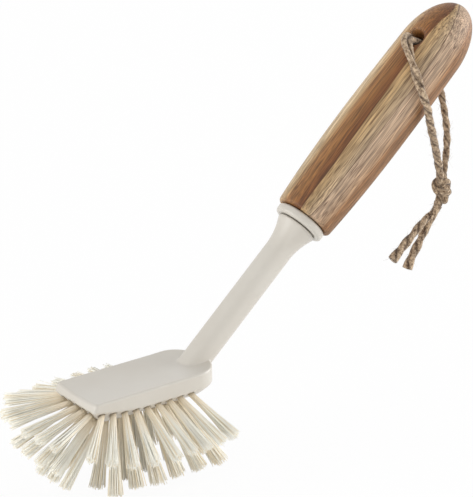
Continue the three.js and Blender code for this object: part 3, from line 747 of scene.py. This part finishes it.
def twine(path, radius, lay, closed=False, flare=1.0, loosened=0.0):
    """Two plies laid up along a path: the section turns once in each lay, and small lumps stand out
    of it where the yarn is uneven. Over a loosened first length the plies lie apart and turn slowly.
    An open length has blunt cut faces, fanned to a point just past the cut, and its last end may
    flare. Returns points, faces and the two attributes of the yarn."""
    around = TWINE_SIDES
    stations = len(path)
    tangent, normal, binormal = path_frames(path, closed)
    gaps = np.linalg.norm(np.diff(path, axis=0), axis=1)
    s = np.concatenate([[0], np.cumsum(gaps)])
    turn = np.arange(around) * 2 * math.pi / around
    loose = np.clip(2 - 2 * s / max(loosened, TINY), 0, 1)
    loose = loose * loose * (3 - 2 * loose) * (loosened > 0)
    twist = np.concatenate([[0], np.cumsum(gaps / (lay * (1 + LOOSE_LAY_GAIN * loose[1:])))])
    ply_turn = turn[None, :] + 2 * math.pi * twist[:, None]
    lumps = 1 + LUMP_HEIGHT * np.sin(s / LUMP_RUN + LUMP_SHIFT * np.sin(s / LUMP_SHIFT_RUN))[:, None]
    lumps = lumps + rng.normal(0, LUMP_NOISE, (stations, around))
    lumps = lumps * (1 + (flare - 1) * np.clip((s - s[-1]) / TAIL_SPREAD_RUN + 1, 0, 1))[:, None]
    reach = (radius * twine_section(ply_turn, loose[:, None]) * lumps)[..., None]
    turn = turn[None, :, None]
    side = np.cos(turn) * normal[:, None] + np.sin(turn) * binormal[:, None]
    points = (path[:, None] + reach * side).reshape(-1, 3)
    values = {"ply_turn": (ply_turn / (2 * math.pi)).ravel(), "length": np.repeat(s, around)}
    if closed:
        return points, closed_band(stations, around), values
    tips = np.stack([path[0] - CUT_BULGE * tangent[0], path[-1] + CUT_BULGE * tangent[-1]])
    ring = np.arange(around)
    next_ring = (ring + 1) % around
    last = (stations - 1) * around
    faces = [
        band_faces(stations, around),
        np.stack([np.full(around, last + around), next_ring, ring], axis=-1),
        np.stack([np.full(around, last + around + 1), last + ring, last + next_ring], axis=-1),
    ]
    values = {key: np.append(v, [v[0], v[-1]]) for key, v in values.items()}
    return np.concatenate([points, tips]), faces, values


def joined(parts):
    """Several closed meshes as one: points end to end, faces renumbered, attributes end to end."""
    starts = np.concatenate([[0], np.cumsum([len(points) for points, _, _ in parts])])
    faces = [group + start for (points, groups, _), start in zip(parts, starts)
             for group in outward(points, groups)]
    values = {key: np.concatenate([part[2][key] for part in parts]) for key in parts[0][2]}
    return np.concatenate([points for points, _, _ in parts]), faces, values


def twine_piece(name, mesh):
    """A piece of jute twine that rides on the hanging loop."""
    points, faces, values = mesh
    return piece(name, points, faces, "hang_loop", jute, values)


def fuzz(paths, name):
    """Loose fibres on the twine: tapering prisms that leave its surface at a slant and curl with the
    square of the way along."""
    starts = []
    leans = []
    for path in paths:
        tangent, normal, binormal = path_frames(path)
        length = np.linalg.norm(np.diff(path, axis=0), axis=1).sum()
        count = int(length * LOOSE_FIBRES_PER_MM)
        at = rng.integers(2, len(path) - 2, count)
        turn = rng.uniform(0, 2 * math.pi, (count, 1))
        side = np.cos(turn) * normal[at] + np.sin(turn) * binormal[at]
        out = rng.uniform(*LOOSE_FIBRE_LEANS, (count, 1))
        way = rng.choice([-1, 1], (count, 1))
        starts.append(path[at] + side * CORD_DIAMETER / 2 * LOOSE_FIBRE_ROOT)
        leans.append(unit(side * out + tangent[at] * way))
    start = np.concatenate(starts)
    lean = np.concatenate(leans)
    count = len(start)
    f = np.linspace(0, 1, LOOSE_FIBRE_STATIONS)
    size = rng.uniform(*LOOSE_FIBRE_LENGTHS, (count, 1, 1))
    curl = rng.normal(0, LOOSE_FIBRE_CURL, (count, 1, 3))
    centre = start[:, None] + lean[:, None] * size * f[:, None] + curl * (f ** 2)[:, None]
    across = unit(np.cross(lean, ODD_DIRECTION))
    thick = LOOSE_FIBRE_RADIUS * (1 - LOOSE_FIBRE_TAPER * f)[:, None, None]
    points, faces = prisms(centre[:, None], across, np.cross(lean, across), thick, LOOSE_FIBRE_SIDES)
    values = {"ply_turn": np.zeros(points.shape[:-1]), "length": np.zeros(points.shape[:-1])}
    return piece(name, points, faces, "hang_loop", jute, values)


# Materials

def add(tree, kind, inputs=None, **settings):
    """Adds a node, sets its properties, and fills inputs with values or links from other sockets."""
    new = tree.nodes.new(kind)
    for key, value in settings.items():
        setattr(new, key, value)
    for key, value in (inputs or {}).items():
        if isinstance(value, bpy.types.NodeSocket):
            tree.links.new(value, new.inputs[key])
        else:
            new.inputs[key].default_value = value
    return new


def surface(name, **constants):
    """A material with one Principled shader, whose constant values are set on its own sockets."""
    made = bpy.data.materials.new(name)
    made.use_nodes = True
    shader = made.node_tree.nodes["Principled BSDF"]
    for key, value in constants.items():
        shader.inputs[key.replace("_", " ")].default_value = value
    return made, made.node_tree, shader


def cream_polypropylene():
    """Injection-moulded polypropylene: warm off-white, satin, with a fine spark-eroded mould grain
    and a faint cloudiness from the melt. The grain is drawn coarser than it is, so that it shows."""
    made, tree, shader = surface("cream_polypropylene", IOR=1.5)
    where = add(tree, "ShaderNodeTexCoord").outputs["Object"]
    cloud = add(tree, "ShaderNodeTexNoise", {
        "Vector": where, "Scale": 1 / (PLASTIC_CLOUD * MM), "Detail": 2.0})
    colour = add(tree, "ShaderNodeMix", {
        "Factor": cloud.outputs["Fac"], "A": linear(PLASTIC_COLOURS[0]), "B": linear(PLASTIC_COLOURS[1])},
        data_type="RGBA")
    grain = add(tree, "ShaderNodeTexNoise", {
        "Vector": where, "Scale": 1 / (PLASTIC_GRAIN * MM), "Detail": 3.0})
    rough = add(tree, "ShaderNodeMapRange", {
        "Value": grain.outputs["Fac"], "From Min": 0.3, "From Max": 0.7, "To Min": 0.32, "To Max": 0.39})
    bump = add(tree, "ShaderNodeBump", {
        "Strength": 0.05, "Distance": PLASTIC_RELIEF * MM, "Height": grain.outputs["Fac"]})
    tree.links.new(colour.outputs["Result"], shader.inputs["Base Color"])
    tree.links.new(rough.outputs["Result"], shader.inputs["Roughness"])
    tree.links.new(bump.outputs["Normal"], shader.inputs["Normal"])
    return made


def polyester_filament():
    """Extruded polyester bristle: cream and satin. Each filament is a little whiter or tanner than
    the next, and all of them are painted tan at the root, as painted shade where the tufts enter the
    head, and take their own colour about halfway along. Belly filaments are tanner still, which is
    painted shade too."""
    made, tree, shader = surface("polyester_filament", IOR=1.55, Roughness=0.42)
    # Each filament's tint is its random tone, made tanner in the belly tufts as painted shade
    tint_and_shade = add(tree, "ShaderNodeAttribute", attribute_name="tint_and_shade")
    along = add(tree, "ShaderNodeAttribute", attribute_name="along")
    white = add(tree, "ShaderNodeMapRange", {
        "Value": tint_and_shade.outputs["Fac"], "From Max": BRISTLE_WHITE_FROM})
    shade = add(tree, "ShaderNodeMix", {
        "Factor": white.outputs["Result"], "A": linear(BRISTLE_COLOURS[0]), "B": linear(BRISTLE_COLOURS[1])},
        data_type="RGBA")
    # Painted shade: each filament turns to the tan root colour between its root and this share of its length
    root_shade_fade = add(tree, "ShaderNodeMapRange", {
        "Value": along.outputs["Fac"], "From Min": 0.02, "From Max": BRISTLE_ROOT_SHADE_SHARE})
    root = add(tree, "ShaderNodeMix", {
        "Factor": root_shade_fade.outputs["Result"], "A": linear(BRISTLE_ROOT_SHADE), "B": shade.outputs["Result"]},
        data_type="RGBA")
    tree.links.new(root.outputs["Result"], shader.inputs["Base Color"])
    return made


def line_across(tree, way, route):
    """Where a line on the wood lies across the handle, in millimetres, as a curve along it."""
    line = add(tree, "ShaderNodeFloatCurve", {"Value": way})
    curve = line.mapping.curves[0]
    curve.points[0].location = (0, route[0][1] / GRAIN_REACH + 0.5)
    curve.points[1].location = (1, route[-1][1] / GRAIN_REACH + 0.5)
    for along, off in route[1:-1]:
        curve.points.new(along / HANDLE_LENGTH, off / GRAIN_REACH + 0.5)
    line.mapping.update()
    across = add(tree, "ShaderNodeMapRange", {
        "Value": line.outputs["Value"], "To Min": -GRAIN_REACH / 2, "To Max": GRAIN_REACH / 2})
    return across.outputs["Result"]


def oiled_acacia():
    """Oiled acacia, turned and sanded: dark heartwood that ends sharply, golden and pinkish layers
    with a thin dark seam between them, fine fibre and dark pores along the handle. Satin. Fibres and
    pores are drawn coarser than they are, so that they show. The pale first layers at the handle's
    left edge are a painted highlight, and the orange-brown last layers at its right edge are darkened
    further by painted shade."""
    made, tree, shader = surface("oiled_acacia", IOR=1.5)
    basis = Matrix(np.stack([grain_across, grain_deep, axis_along], axis=-1).tolist())
    grain = add(tree, "ShaderNodeMapping", {
        "Vector": add(tree, "ShaderNodeTexCoord").outputs["Object"],
        "Location": to_row(axis_start + handle_start * axis_along),
        "Rotation": basis.to_euler(),
        "Scale": (MM, MM, MM),
    }, vector_type="TEXTURE").outputs["Vector"]
    place = add(tree, "ShaderNodeSeparateXYZ", {"Vector": grain})
    way = add(tree, "ShaderNodeMath", {0: place.outputs["Z"], 1: HANDLE_LENGTH}, operation="DIVIDE")
    long = add(tree, "ShaderNodeMapping", {"Vector": grain, "Scale": (1.0, 1.0, PORE_STRETCH)})
    drift = add(tree, "ShaderNodeTexNoise", {
        "Vector": long.outputs["Vector"], "Scale": 1 / DRIFT_WIDTH, "Detail": 2.0})
    wander = add(tree, "ShaderNodeMapRange", {
        "Value": drift.outputs["Fac"], "From Min": 0.2, "From Max": 0.8,
        "To Min": -DRIFT_REACH, "To Max": DRIFT_REACH})
    across = add(tree, "ShaderNodeMath", {
        0: place.outputs["X"], 1: wander.outputs["Result"]}, operation="ADD").outputs["Value"]
    edge = line_across(tree, way.outputs["Value"], HEARTWOOD_EDGE)
    seam = line_across(tree, way.outputs["Value"], SEAM_LINE)

    # Distance through the layers: millimetres up to the edge, a set share of golden wood to the seam,
    # and millimetres again past it
    before = add(tree, "ShaderNodeMath", {0: across, 1: edge}, operation="SUBTRACT")
    heart = add(tree, "ShaderNodeMath", {0: before.outputs["Value"], 1: 0.0}, operation="MINIMUM")
    golden = add(tree, "ShaderNodeMapRange", {
        "Value": across, "From Min": edge, "From Max": seam, "To Max": GOLDEN_LAYER})
    past = add(tree, "ShaderNodeMath", {0: across, 1: seam}, operation="SUBTRACT")
    outer = add(tree, "ShaderNodeMath", {0: past.outputs["Value"], 1: 0.0}, operation="MAXIMUM")
    inner = add(tree, "ShaderNodeMath", {
        0: heart.outputs["Value"], 1: golden.outputs["Result"]}, operation="ADD")
    depth = add(tree, "ShaderNodeMath", {
        0: inner.outputs["Value"], 1: outer.outputs["Value"]}, operation="ADD")
    # The ramp holds the painted highlight at the left edge and the painted shade at the right edge
    first, last = WOOD_LAYERS_AND_SHADING[0][0], WOOD_LAYERS_AND_SHADING[-1][0]
    share = add(tree, "ShaderNodeMapRange", {
        "Value": depth.outputs["Value"], "From Min": first, "From Max": last})
    layer_colours_and_shading = add(tree, "ShaderNodeValToRGB", {"Fac": share.outputs["Result"]})
    ramp = layer_colours_and_shading.color_ramp
    ramp.elements[0].color = linear(WOOD_LAYERS_AND_SHADING[0][1])
    ramp.elements[1].color = linear(WOOD_LAYERS_AND_SHADING[-1][1])
    for place_in, code in WOOD_LAYERS_AND_SHADING[1:-1]:
        ramp.elements.new((place_in - first) / (last - first)).color = linear(code)

    # Broad streaks and fine fibres lighten or darken the layers, and pores and the seam darken them
    broad = add(tree, "ShaderNodeTexNoise", {
        "Vector": long.outputs["Vector"], "Scale": 1 / STREAK_WIDTH, "Detail": 1.0})
    streak = add(tree, "ShaderNodeMapRange", {
        "Value": broad.outputs["Fac"], "From Min": 0.3, "From Max": 0.7, "To Min": 0.84, "To Max": 1.18})
    thin = add(tree, "ShaderNodeMapping", {"Vector": grain, "Scale": (1.0, 1.0, FIBRE_STRETCH)})
    fibre = add(tree, "ShaderNodeTexNoise", {
        "Vector": thin.outputs["Vector"], "Scale": 1 / FIBRE_WIDTH, "Detail": 2.0, "Roughness": 0.7})
    lighten = add(tree, "ShaderNodeMapRange", {
        "Value": fibre.outputs["Fac"], "From Min": 0.36, "From Max": 0.64, "To Min": 0.6, "To Max": 1.4})
    tone = add(tree, "ShaderNodeMath", {
        0: streak.outputs["Result"], 1: lighten.outputs["Result"]}, operation="MULTIPLY")
    streaked = add(tree, "ShaderNodeVectorMath", {
        0: layer_colours_and_shading.outputs["Color"], 1: tone.outputs["Value"]}, operation="MULTIPLY")
    dots = add(tree, "ShaderNodeTexNoise", {
        "Vector": long.outputs["Vector"], "Scale": 1 / PORE_WIDTH, "Detail": 0.0})
    pores = add(tree, "ShaderNodeMapRange", {
        "Value": dots.outputs["Fac"], "From Min": 0.55, "From Max": 0.67, "To Max": 0.65})
    dotted = add(tree, "ShaderNodeMix", {
        "Factor": pores.outputs["Result"], "A": streaked.outputs["Vector"], "B": linear(WOOD_PORE)},
        data_type="RGBA")
    off = add(tree, "ShaderNodeMath", {0: past.outputs["Value"]}, operation="ABSOLUTE")
    dark = add(tree, "ShaderNodeMapRange", {
        "Value": off.outputs["Value"], "From Min": 0.1, "From Max": 0.32, "To Min": 0.75, "To Max": 0.0})
    seamed = add(tree, "ShaderNodeMix", {
        "Factor": dark.outputs["Result"], "A": dotted.outputs["Result"], "B": linear(WOOD_SEAM)},
        data_type="RGBA")
    rough = add(tree, "ShaderNodeMapRange", {
        "Value": fibre.outputs["Fac"], "From Min": 0.3, "From Max": 0.7, "To Min": 0.62, "To Max": 0.48})
    relief = add(tree, "ShaderNodeMath", {
        0: fibre.outputs["Fac"], 1: pores.outputs["Result"]}, operation="SUBTRACT")
    bump = add(tree, "ShaderNodeBump", {
        "Strength": 0.35, "Distance": WOOD_RELIEF * MM, "Height": relief.outputs["Value"]})
    tree.links.new(seamed.outputs["Result"], shader.inputs["Base Color"])
    tree.links.new(rough.outputs["Result"], shader.inputs["Roughness"])
    tree.links.new(bump.outputs["Normal"], shader.inputs["Normal"])
    return made


def jute_twine():
    """Two-ply jute twine: dull tan bast fibre, painted dark in the groove between the plies as painted
    shade, with fine fibres that run at a slant along each ply and are drawn coarser than they are, so that
    they show."""
    made, tree, shader = surface("jute_twine", Roughness=0.95, IOR=1.45, Sheen_Weight=0.25)
    where = add(tree, "ShaderNodeTexCoord").outputs["Object"]
    turn = add(tree, "ShaderNodeAttribute", attribute_name="ply_turn").outputs["Fac"]
    length = add(tree, "ShaderNodeAttribute", attribute_name="length").outputs["Fac"]
    # Painted shade: twice in each turn the colour darkens into the groove between the plies
    angle = add(tree, "ShaderNodeMath", {0: turn, 1: 4 * math.pi}, operation="MULTIPLY")
    wave = add(tree, "ShaderNodeMath", {0: angle.outputs["Value"]}, operation="COSINE")
    groove_shade = add(tree, "ShaderNodeMapRange", {
        "Value": wave.outputs["Value"], "From Min": -1.0, "From Max": -0.3, "To Min": 0.7, "To Max": 0.0})
    around = add(tree, "ShaderNodeMath", {0: turn, 1: YARN_PER_TURN}, operation="MULTIPLY")
    along = add(tree, "ShaderNodeMath", {0: length, 1: YARN_PER_MM}, operation="MULTIPLY")
    slant = add(tree, "ShaderNodeCombineXYZ", {"X": around.outputs["Value"], "Y": along.outputs["Value"]})
    fibre = add(tree, "ShaderNodeTexNoise", {
        "Vector": slant.outputs["Vector"], "Scale": 1.0, "Detail": 4.0, "Roughness": 0.7})
    patch = add(tree, "ShaderNodeTexNoise", {
        "Vector": where, "Scale": 1 / (JUTE_PATCH * MM), "Detail": 3.0})
    tone = add(tree, "ShaderNodeMath", {0: fibre.outputs["Fac"], 1: patch.outputs["Fac"]}, operation="ADD")
    light = add(tree, "ShaderNodeMapRange", {
        "Value": tone.outputs["Value"], "From Min": 0.78, "From Max": 1.22})
    body = add(tree, "ShaderNodeMix", {
        "Factor": light.outputs["Result"], "A": linear(JUTE_COLOURS[0]), "B": linear(JUTE_COLOURS[1])},
        data_type="RGBA")
    shaded = add(tree, "ShaderNodeMix", {
        "Factor": groove_shade.outputs["Result"], "A": body.outputs["Result"], "B": linear(JUTE_GROOVE_SHADE)},
        data_type="RGBA")
    bump = add(tree, "ShaderNodeBump", {
        "Strength": 0.9, "Distance": JUTE_RELIEF * MM, "Height": tone.outputs["Value"]})
    tree.links.new(shaded.outputs["Result"], shader.inputs["Base Color"])
    tree.links.new(bump.outputs["Normal"], shader.inputs["Normal"])
    return made


def staple_wire():
    """Drawn and tinned steel wire of the staples: bright, with fine drawing marks, which are drawn
    coarser than they are, so that they show."""
    made, tree, shader = surface("tinned_steel_wire", Metallic=1.0)
    where = add(tree, "ShaderNodeTexCoord").outputs["Object"]
    marks = add(tree, "ShaderNodeTexNoise", {
        "Vector": where, "Scale": 1 / (STEEL_MARK * MM), "Detail": 2.0})
    colour = add(tree, "ShaderNodeMix", {
        "Factor": marks.outputs["Fac"], "A": linear(STEEL_COLOURS[0]), "B": linear(STEEL_COLOURS[1])},
        data_type="RGBA")
    rough = add(tree, "ShaderNodeMapRange", {"Value": marks.outputs["Fac"], "To Min": 0.25, "To Max": 0.45})
    tree.links.new(colour.outputs["Result"], shader.inputs["Base Color"])
    tree.links.new(rough.outputs["Result"], shader.inputs["Roughness"])
    return made


def seen_directly(tree):
    """1 for camera, mirror and see-through rays, and 0 for rays that only carry light."""
    rays = add(tree, "ShaderNodeLightPath")
    direct = add(tree, "ShaderNodeMath", {
        0: rays.outputs["Is Camera Ray"], 1: rays.outputs["Is Glossy Ray"]}, operation="MAXIMUM")
    direct = add(tree, "ShaderNodeMath", {
        0: direct.outputs["Value"], 1: rays.outputs["Is Transmission Ray"]}, operation="MAXIMUM")
    return direct.outputs["Value"]


def white_floor():
    """Matt white floor paper. To the camera and in reflections it is mostly plain white, and keeps a
    soft share of the shadow that falls on it."""
    made, tree, shader = surface("white_floor_paper", Roughness=0.9, Base_Color=linear("#FFFFFF"))
    white = add(tree, "ShaderNodeEmission", {"Color": (1, 1, 1, 1), "Strength": 1.0})
    part = add(tree, "ShaderNodeMath", {
        0: seen_directly(tree), 1: FLOOR_PLAIN_SHARE}, operation="MULTIPLY")
    mix = add(tree, "ShaderNodeMixShader", {
        0: part.outputs["Value"], 1: shader.outputs["BSDF"], 2: white.outputs["Emission"]})
    tree.links.new(mix.outputs["Shader"], tree.nodes["Material Output"].inputs["Surface"])
    return made


# Camera

def place_camera():
    """A long lens at the photograph's azimuth and elevation. Its axes are right, up and back."""
    a, e = CAMERA_AZIMUTH, CAMERA_ELEVATION
    back = np.array([math.sin(a) * math.cos(e), -math.cos(a) * math.cos(e), math.sin(e)])
    right = np.array([math.cos(a), math.sin(a), 0])
    up = np.cross(back, right)
    data = bpy.data.cameras.new("photo_camera")
    data.sensor_width = SENSOR
    data.lens = FOCAL_PIXELS / IMAGE_HEIGHT * SENSOR
    data.clip_start = CLIP_START
    data.clip_end = CLIP_END
    camera = bpy.data.objects.new("photo_camera", data)
    turn = Matrix(np.stack([right, up, back], axis=-1).tolist()).to_4x4()
    turn.translation = to_row(np.array(CAMERA_TARGET) + CAMERA_DISTANCE * back)
    camera.matrix_world = turn
    bpy.context.collection.objects.link(camera)
    bpy.context.scene.camera = camera
    return back


view_back = place_camera()

# Wood layers lie in planes along the handle and along the line of sight, so that the first layers,
# a painted highlight, and the last ones, partly painted shade, stay at the handle's left and right edges in
# view
grain_deep = unit((view_back @ axis_along) * axis_along - view_back)
grain_across = np.cross(grain_deep, axis_along)

jute = jute_twine()
plastic = cream_polypropylene()
bristle = polyester_filament()
wood = oiled_acacia()
steel = staple_wire()

# Hanging loop
routes = {
    "near": NEAR_ROUTE,
    "far": FAR_ROUTE,
    "long": LONG_TAIL_ROUTE,
    "short": SHORT_TAIL_ROUTE,
}
paths = {key: smooth_path(np.array(route) / MM, CORD_STEP) for key, route in routes.items()}


def loop_knot():
    """An overhand knot drawn tight: the trefoil curve (sin t + 2 sin 2t, cos t - 2 cos 2t, -sin 3t)
    at the knot's size, a turn of twine round its waist, and the two strands that run on through its
    middle into the tails."""
    top = np.array(KNOT_TOP) / MM
    bottom = np.array(KNOT_BOTTOM) / MM
    along = unit(top - bottom)
    facing = unit(view_back - (view_back @ along) * along)
    right = np.cross(along, facing)
    t = np.linspace(0, 2 * math.pi, KNOT_STATIONS, endpoint=False)
    x = KNOT_WIDTH * (np.sin(t) + 2 * np.sin(2 * t))
    y = KNOT_HEIGHT * (np.cos(t) - 2 * np.cos(2 * t) + KNOT_LIFT)
    trefoil = np.stack([
        x * math.cos(KNOT_TURN) - y * math.sin(KNOT_TURN),
        x * math.sin(KNOT_TURN) + y * math.cos(KNOT_TURN),
        -KNOT_DEPTH * np.sin(3 * t),
    ], axis=-1)
    waist = np.stack([
        WAIST_WIDTH * np.cos(t), WAIST_LIFT - WAIST_TILT * np.cos(t), WAIST_DEPTH * np.sin(t)], axis=-1)
    basis = np.stack([right, along, facing])
    middle = (top + bottom) / 2 + KNOT_SHIFT[0] * right + KNOT_SHIFT[1] * along
    wraps = [twine(curve @ basis + middle, TWINE_RADIUS * KNOT_TWINE_SHARE, CORD_LAY, closed=True)
             for curve in (trefoil, waist)]
    through = [smooth_path([paths[a][-1], middle + side * THROUGH_OFFSET * right, paths[b][0]], CORD_STEP)
               for a, b, side in (("near", "long", -1), ("far", "short", 1))]
    inner = [twine(path, TWINE_RADIUS, CORD_LAY) for path in through]
    return joined(wraps + inner)


knot = twine_piece("loop_knot_tied", loop_knot())
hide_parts("loop_knot")
cords = [
    ("loop_strand_near", "near", "knot", TWINE_RADIUS, CORD_LAY, {"loosened": LOOSENED_LENGTH}),
    ("loop_strand_far", "far", "knot", TWINE_RADIUS * FAR_TWINE_SHARE, CORD_LAY, {}),
    ("loop_tail_long", "long", "bare", TWINE_RADIUS, TAIL_LAY, {"flare": TAIL_SPREAD}),
    ("loop_tail_short", "short", "bare", TWINE_RADIUS, TAIL_LAY, {"flare": TAIL_SPREAD}),
]
cord_pieces = [twine_piece(node + "_twine", twine(paths[key], radius, lay, **more))
               for node, key, _, radius, lay, more in cords]
loose_fibres = fuzz(paths.values(), "loop_loose_fibres")
for cord, (node, key, far_end, *_) in zip(cord_pieces, cords):
    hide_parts(node)

# Head and neck
moulding_points, moulding_faces = lattice_surface(
    moulding_field, MOULDING_LOW, MOULDING_HIGH, HEAD_LATTICE)
moulding = piece("head_and_neck", moulding_points, moulding_faces, "brush", plastic)
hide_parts("head_moulding")

# Bristles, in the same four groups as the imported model
plan_x, plan_y = tuft_plan.T
groups = {
    "front": plan_x < BED_SPLIT_X,
    "near": (plan_x > BED_SPLIT_X) & (plan_y < -BED_SPLIT_Y),
    "far": (plan_x > BED_SPLIT_X) & (plan_y > BED_SPLIT_Y),
    "middle": (plan_x > BED_SPLIT_X) & (np.abs(plan_y) < BED_SPLIT_Y),
}
for key, chosen in groups.items():
    points, faces, attributes = filaments(chosen)
    tufts = piece("tufts_" + key, points, faces, "brush", bristle, attributes)
    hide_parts("bristles_" + key)

# Collar and handle
ring_points, ring_faces = collar_ring()
ring = piece("collar_ring_turned", ring_points, ring_faces, "brush", plastic)
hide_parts("collar_ring")
grip = HANDLE_DIAMETERS[2] / 2 + HANDLE_MARGIN
handle_points, handle_faces = lattice_surface(
    handle_field, (-grip, -grip, -HANDLE_MARGIN), (grip, grip, HANDLE_LENGTH + HANDLE_MARGIN), HANDLE_LATTICE)
handle = piece("handle_turned", on_axis(handle_points + [0, 0, handle_start]), handle_faces,
               "brush", wood)
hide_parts("handle")

# Staples
for name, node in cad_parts.items():
    if name.startswith("anchor"):
        node.data.materials.clear()
        node.data.materials.append(steel)

# Floor and light
floor_mesh = bpy.data.meshes.new("floor")
floor_corners = [(x * FLOOR_HALF, y * FLOOR_HALF, 0) for x, y in ((-1, -1), (1, -1), (1, 1), (-1, 1))]
floor_mesh.from_pydata(floor_corners, [], [(0, 1, 2, 3)])
floor_mesh.materials.append(white_floor())
floor = bpy.data.objects.new("floor", floor_mesh)
bpy.context.collection.objects.link(floor)


def area_light(name, place, width, height, power):
    """A soft box that faces the middle of the brush. Place is in metres from that middle."""
    data = bpy.data.lights.new(name, "AREA")
    data.shape = "RECTANGLE"
    data.size = width
    data.size_y = height
    data.energy = power
    lamp = bpy.data.objects.new(name, data)
    middle = to_row(CAMERA_TARGET)
    back = unit(np.array(place, float))
    right = unit(np.cross([0, 0, 1], back))
    turn = Matrix(np.stack([right, np.cross(back, right), back], axis=-1).tolist()).to_4x4()
    turn.translation = middle + np.array(place)
    lamp.matrix_world = turn
    bpy.context.collection.objects.link(lamp)


for name, (place, width, height, power) in SOFT_BOXES.items():
    area_light(name, place, width, height, power)

# The sky is white where it is seen, and lights the brush at a lower level
world = bpy.data.worlds.new("studio")
world.use_nodes = True
bpy.context.scene.world = world
sky = world.node_tree
level = add(sky, "ShaderNodeMix", {
    "Factor": seen_directly(sky), "A": SKY_LEVEL, "B": 1.0}, data_type="FLOAT")
sky.links.new(level.outputs["Result"], sky.nodes["Background"].inputs["Strength"])
sky.nodes["Background"].inputs["Color"].default_value = (1, 1, 1, 1)

bpy.context.scene.view_settings.view_transform = "Standard"
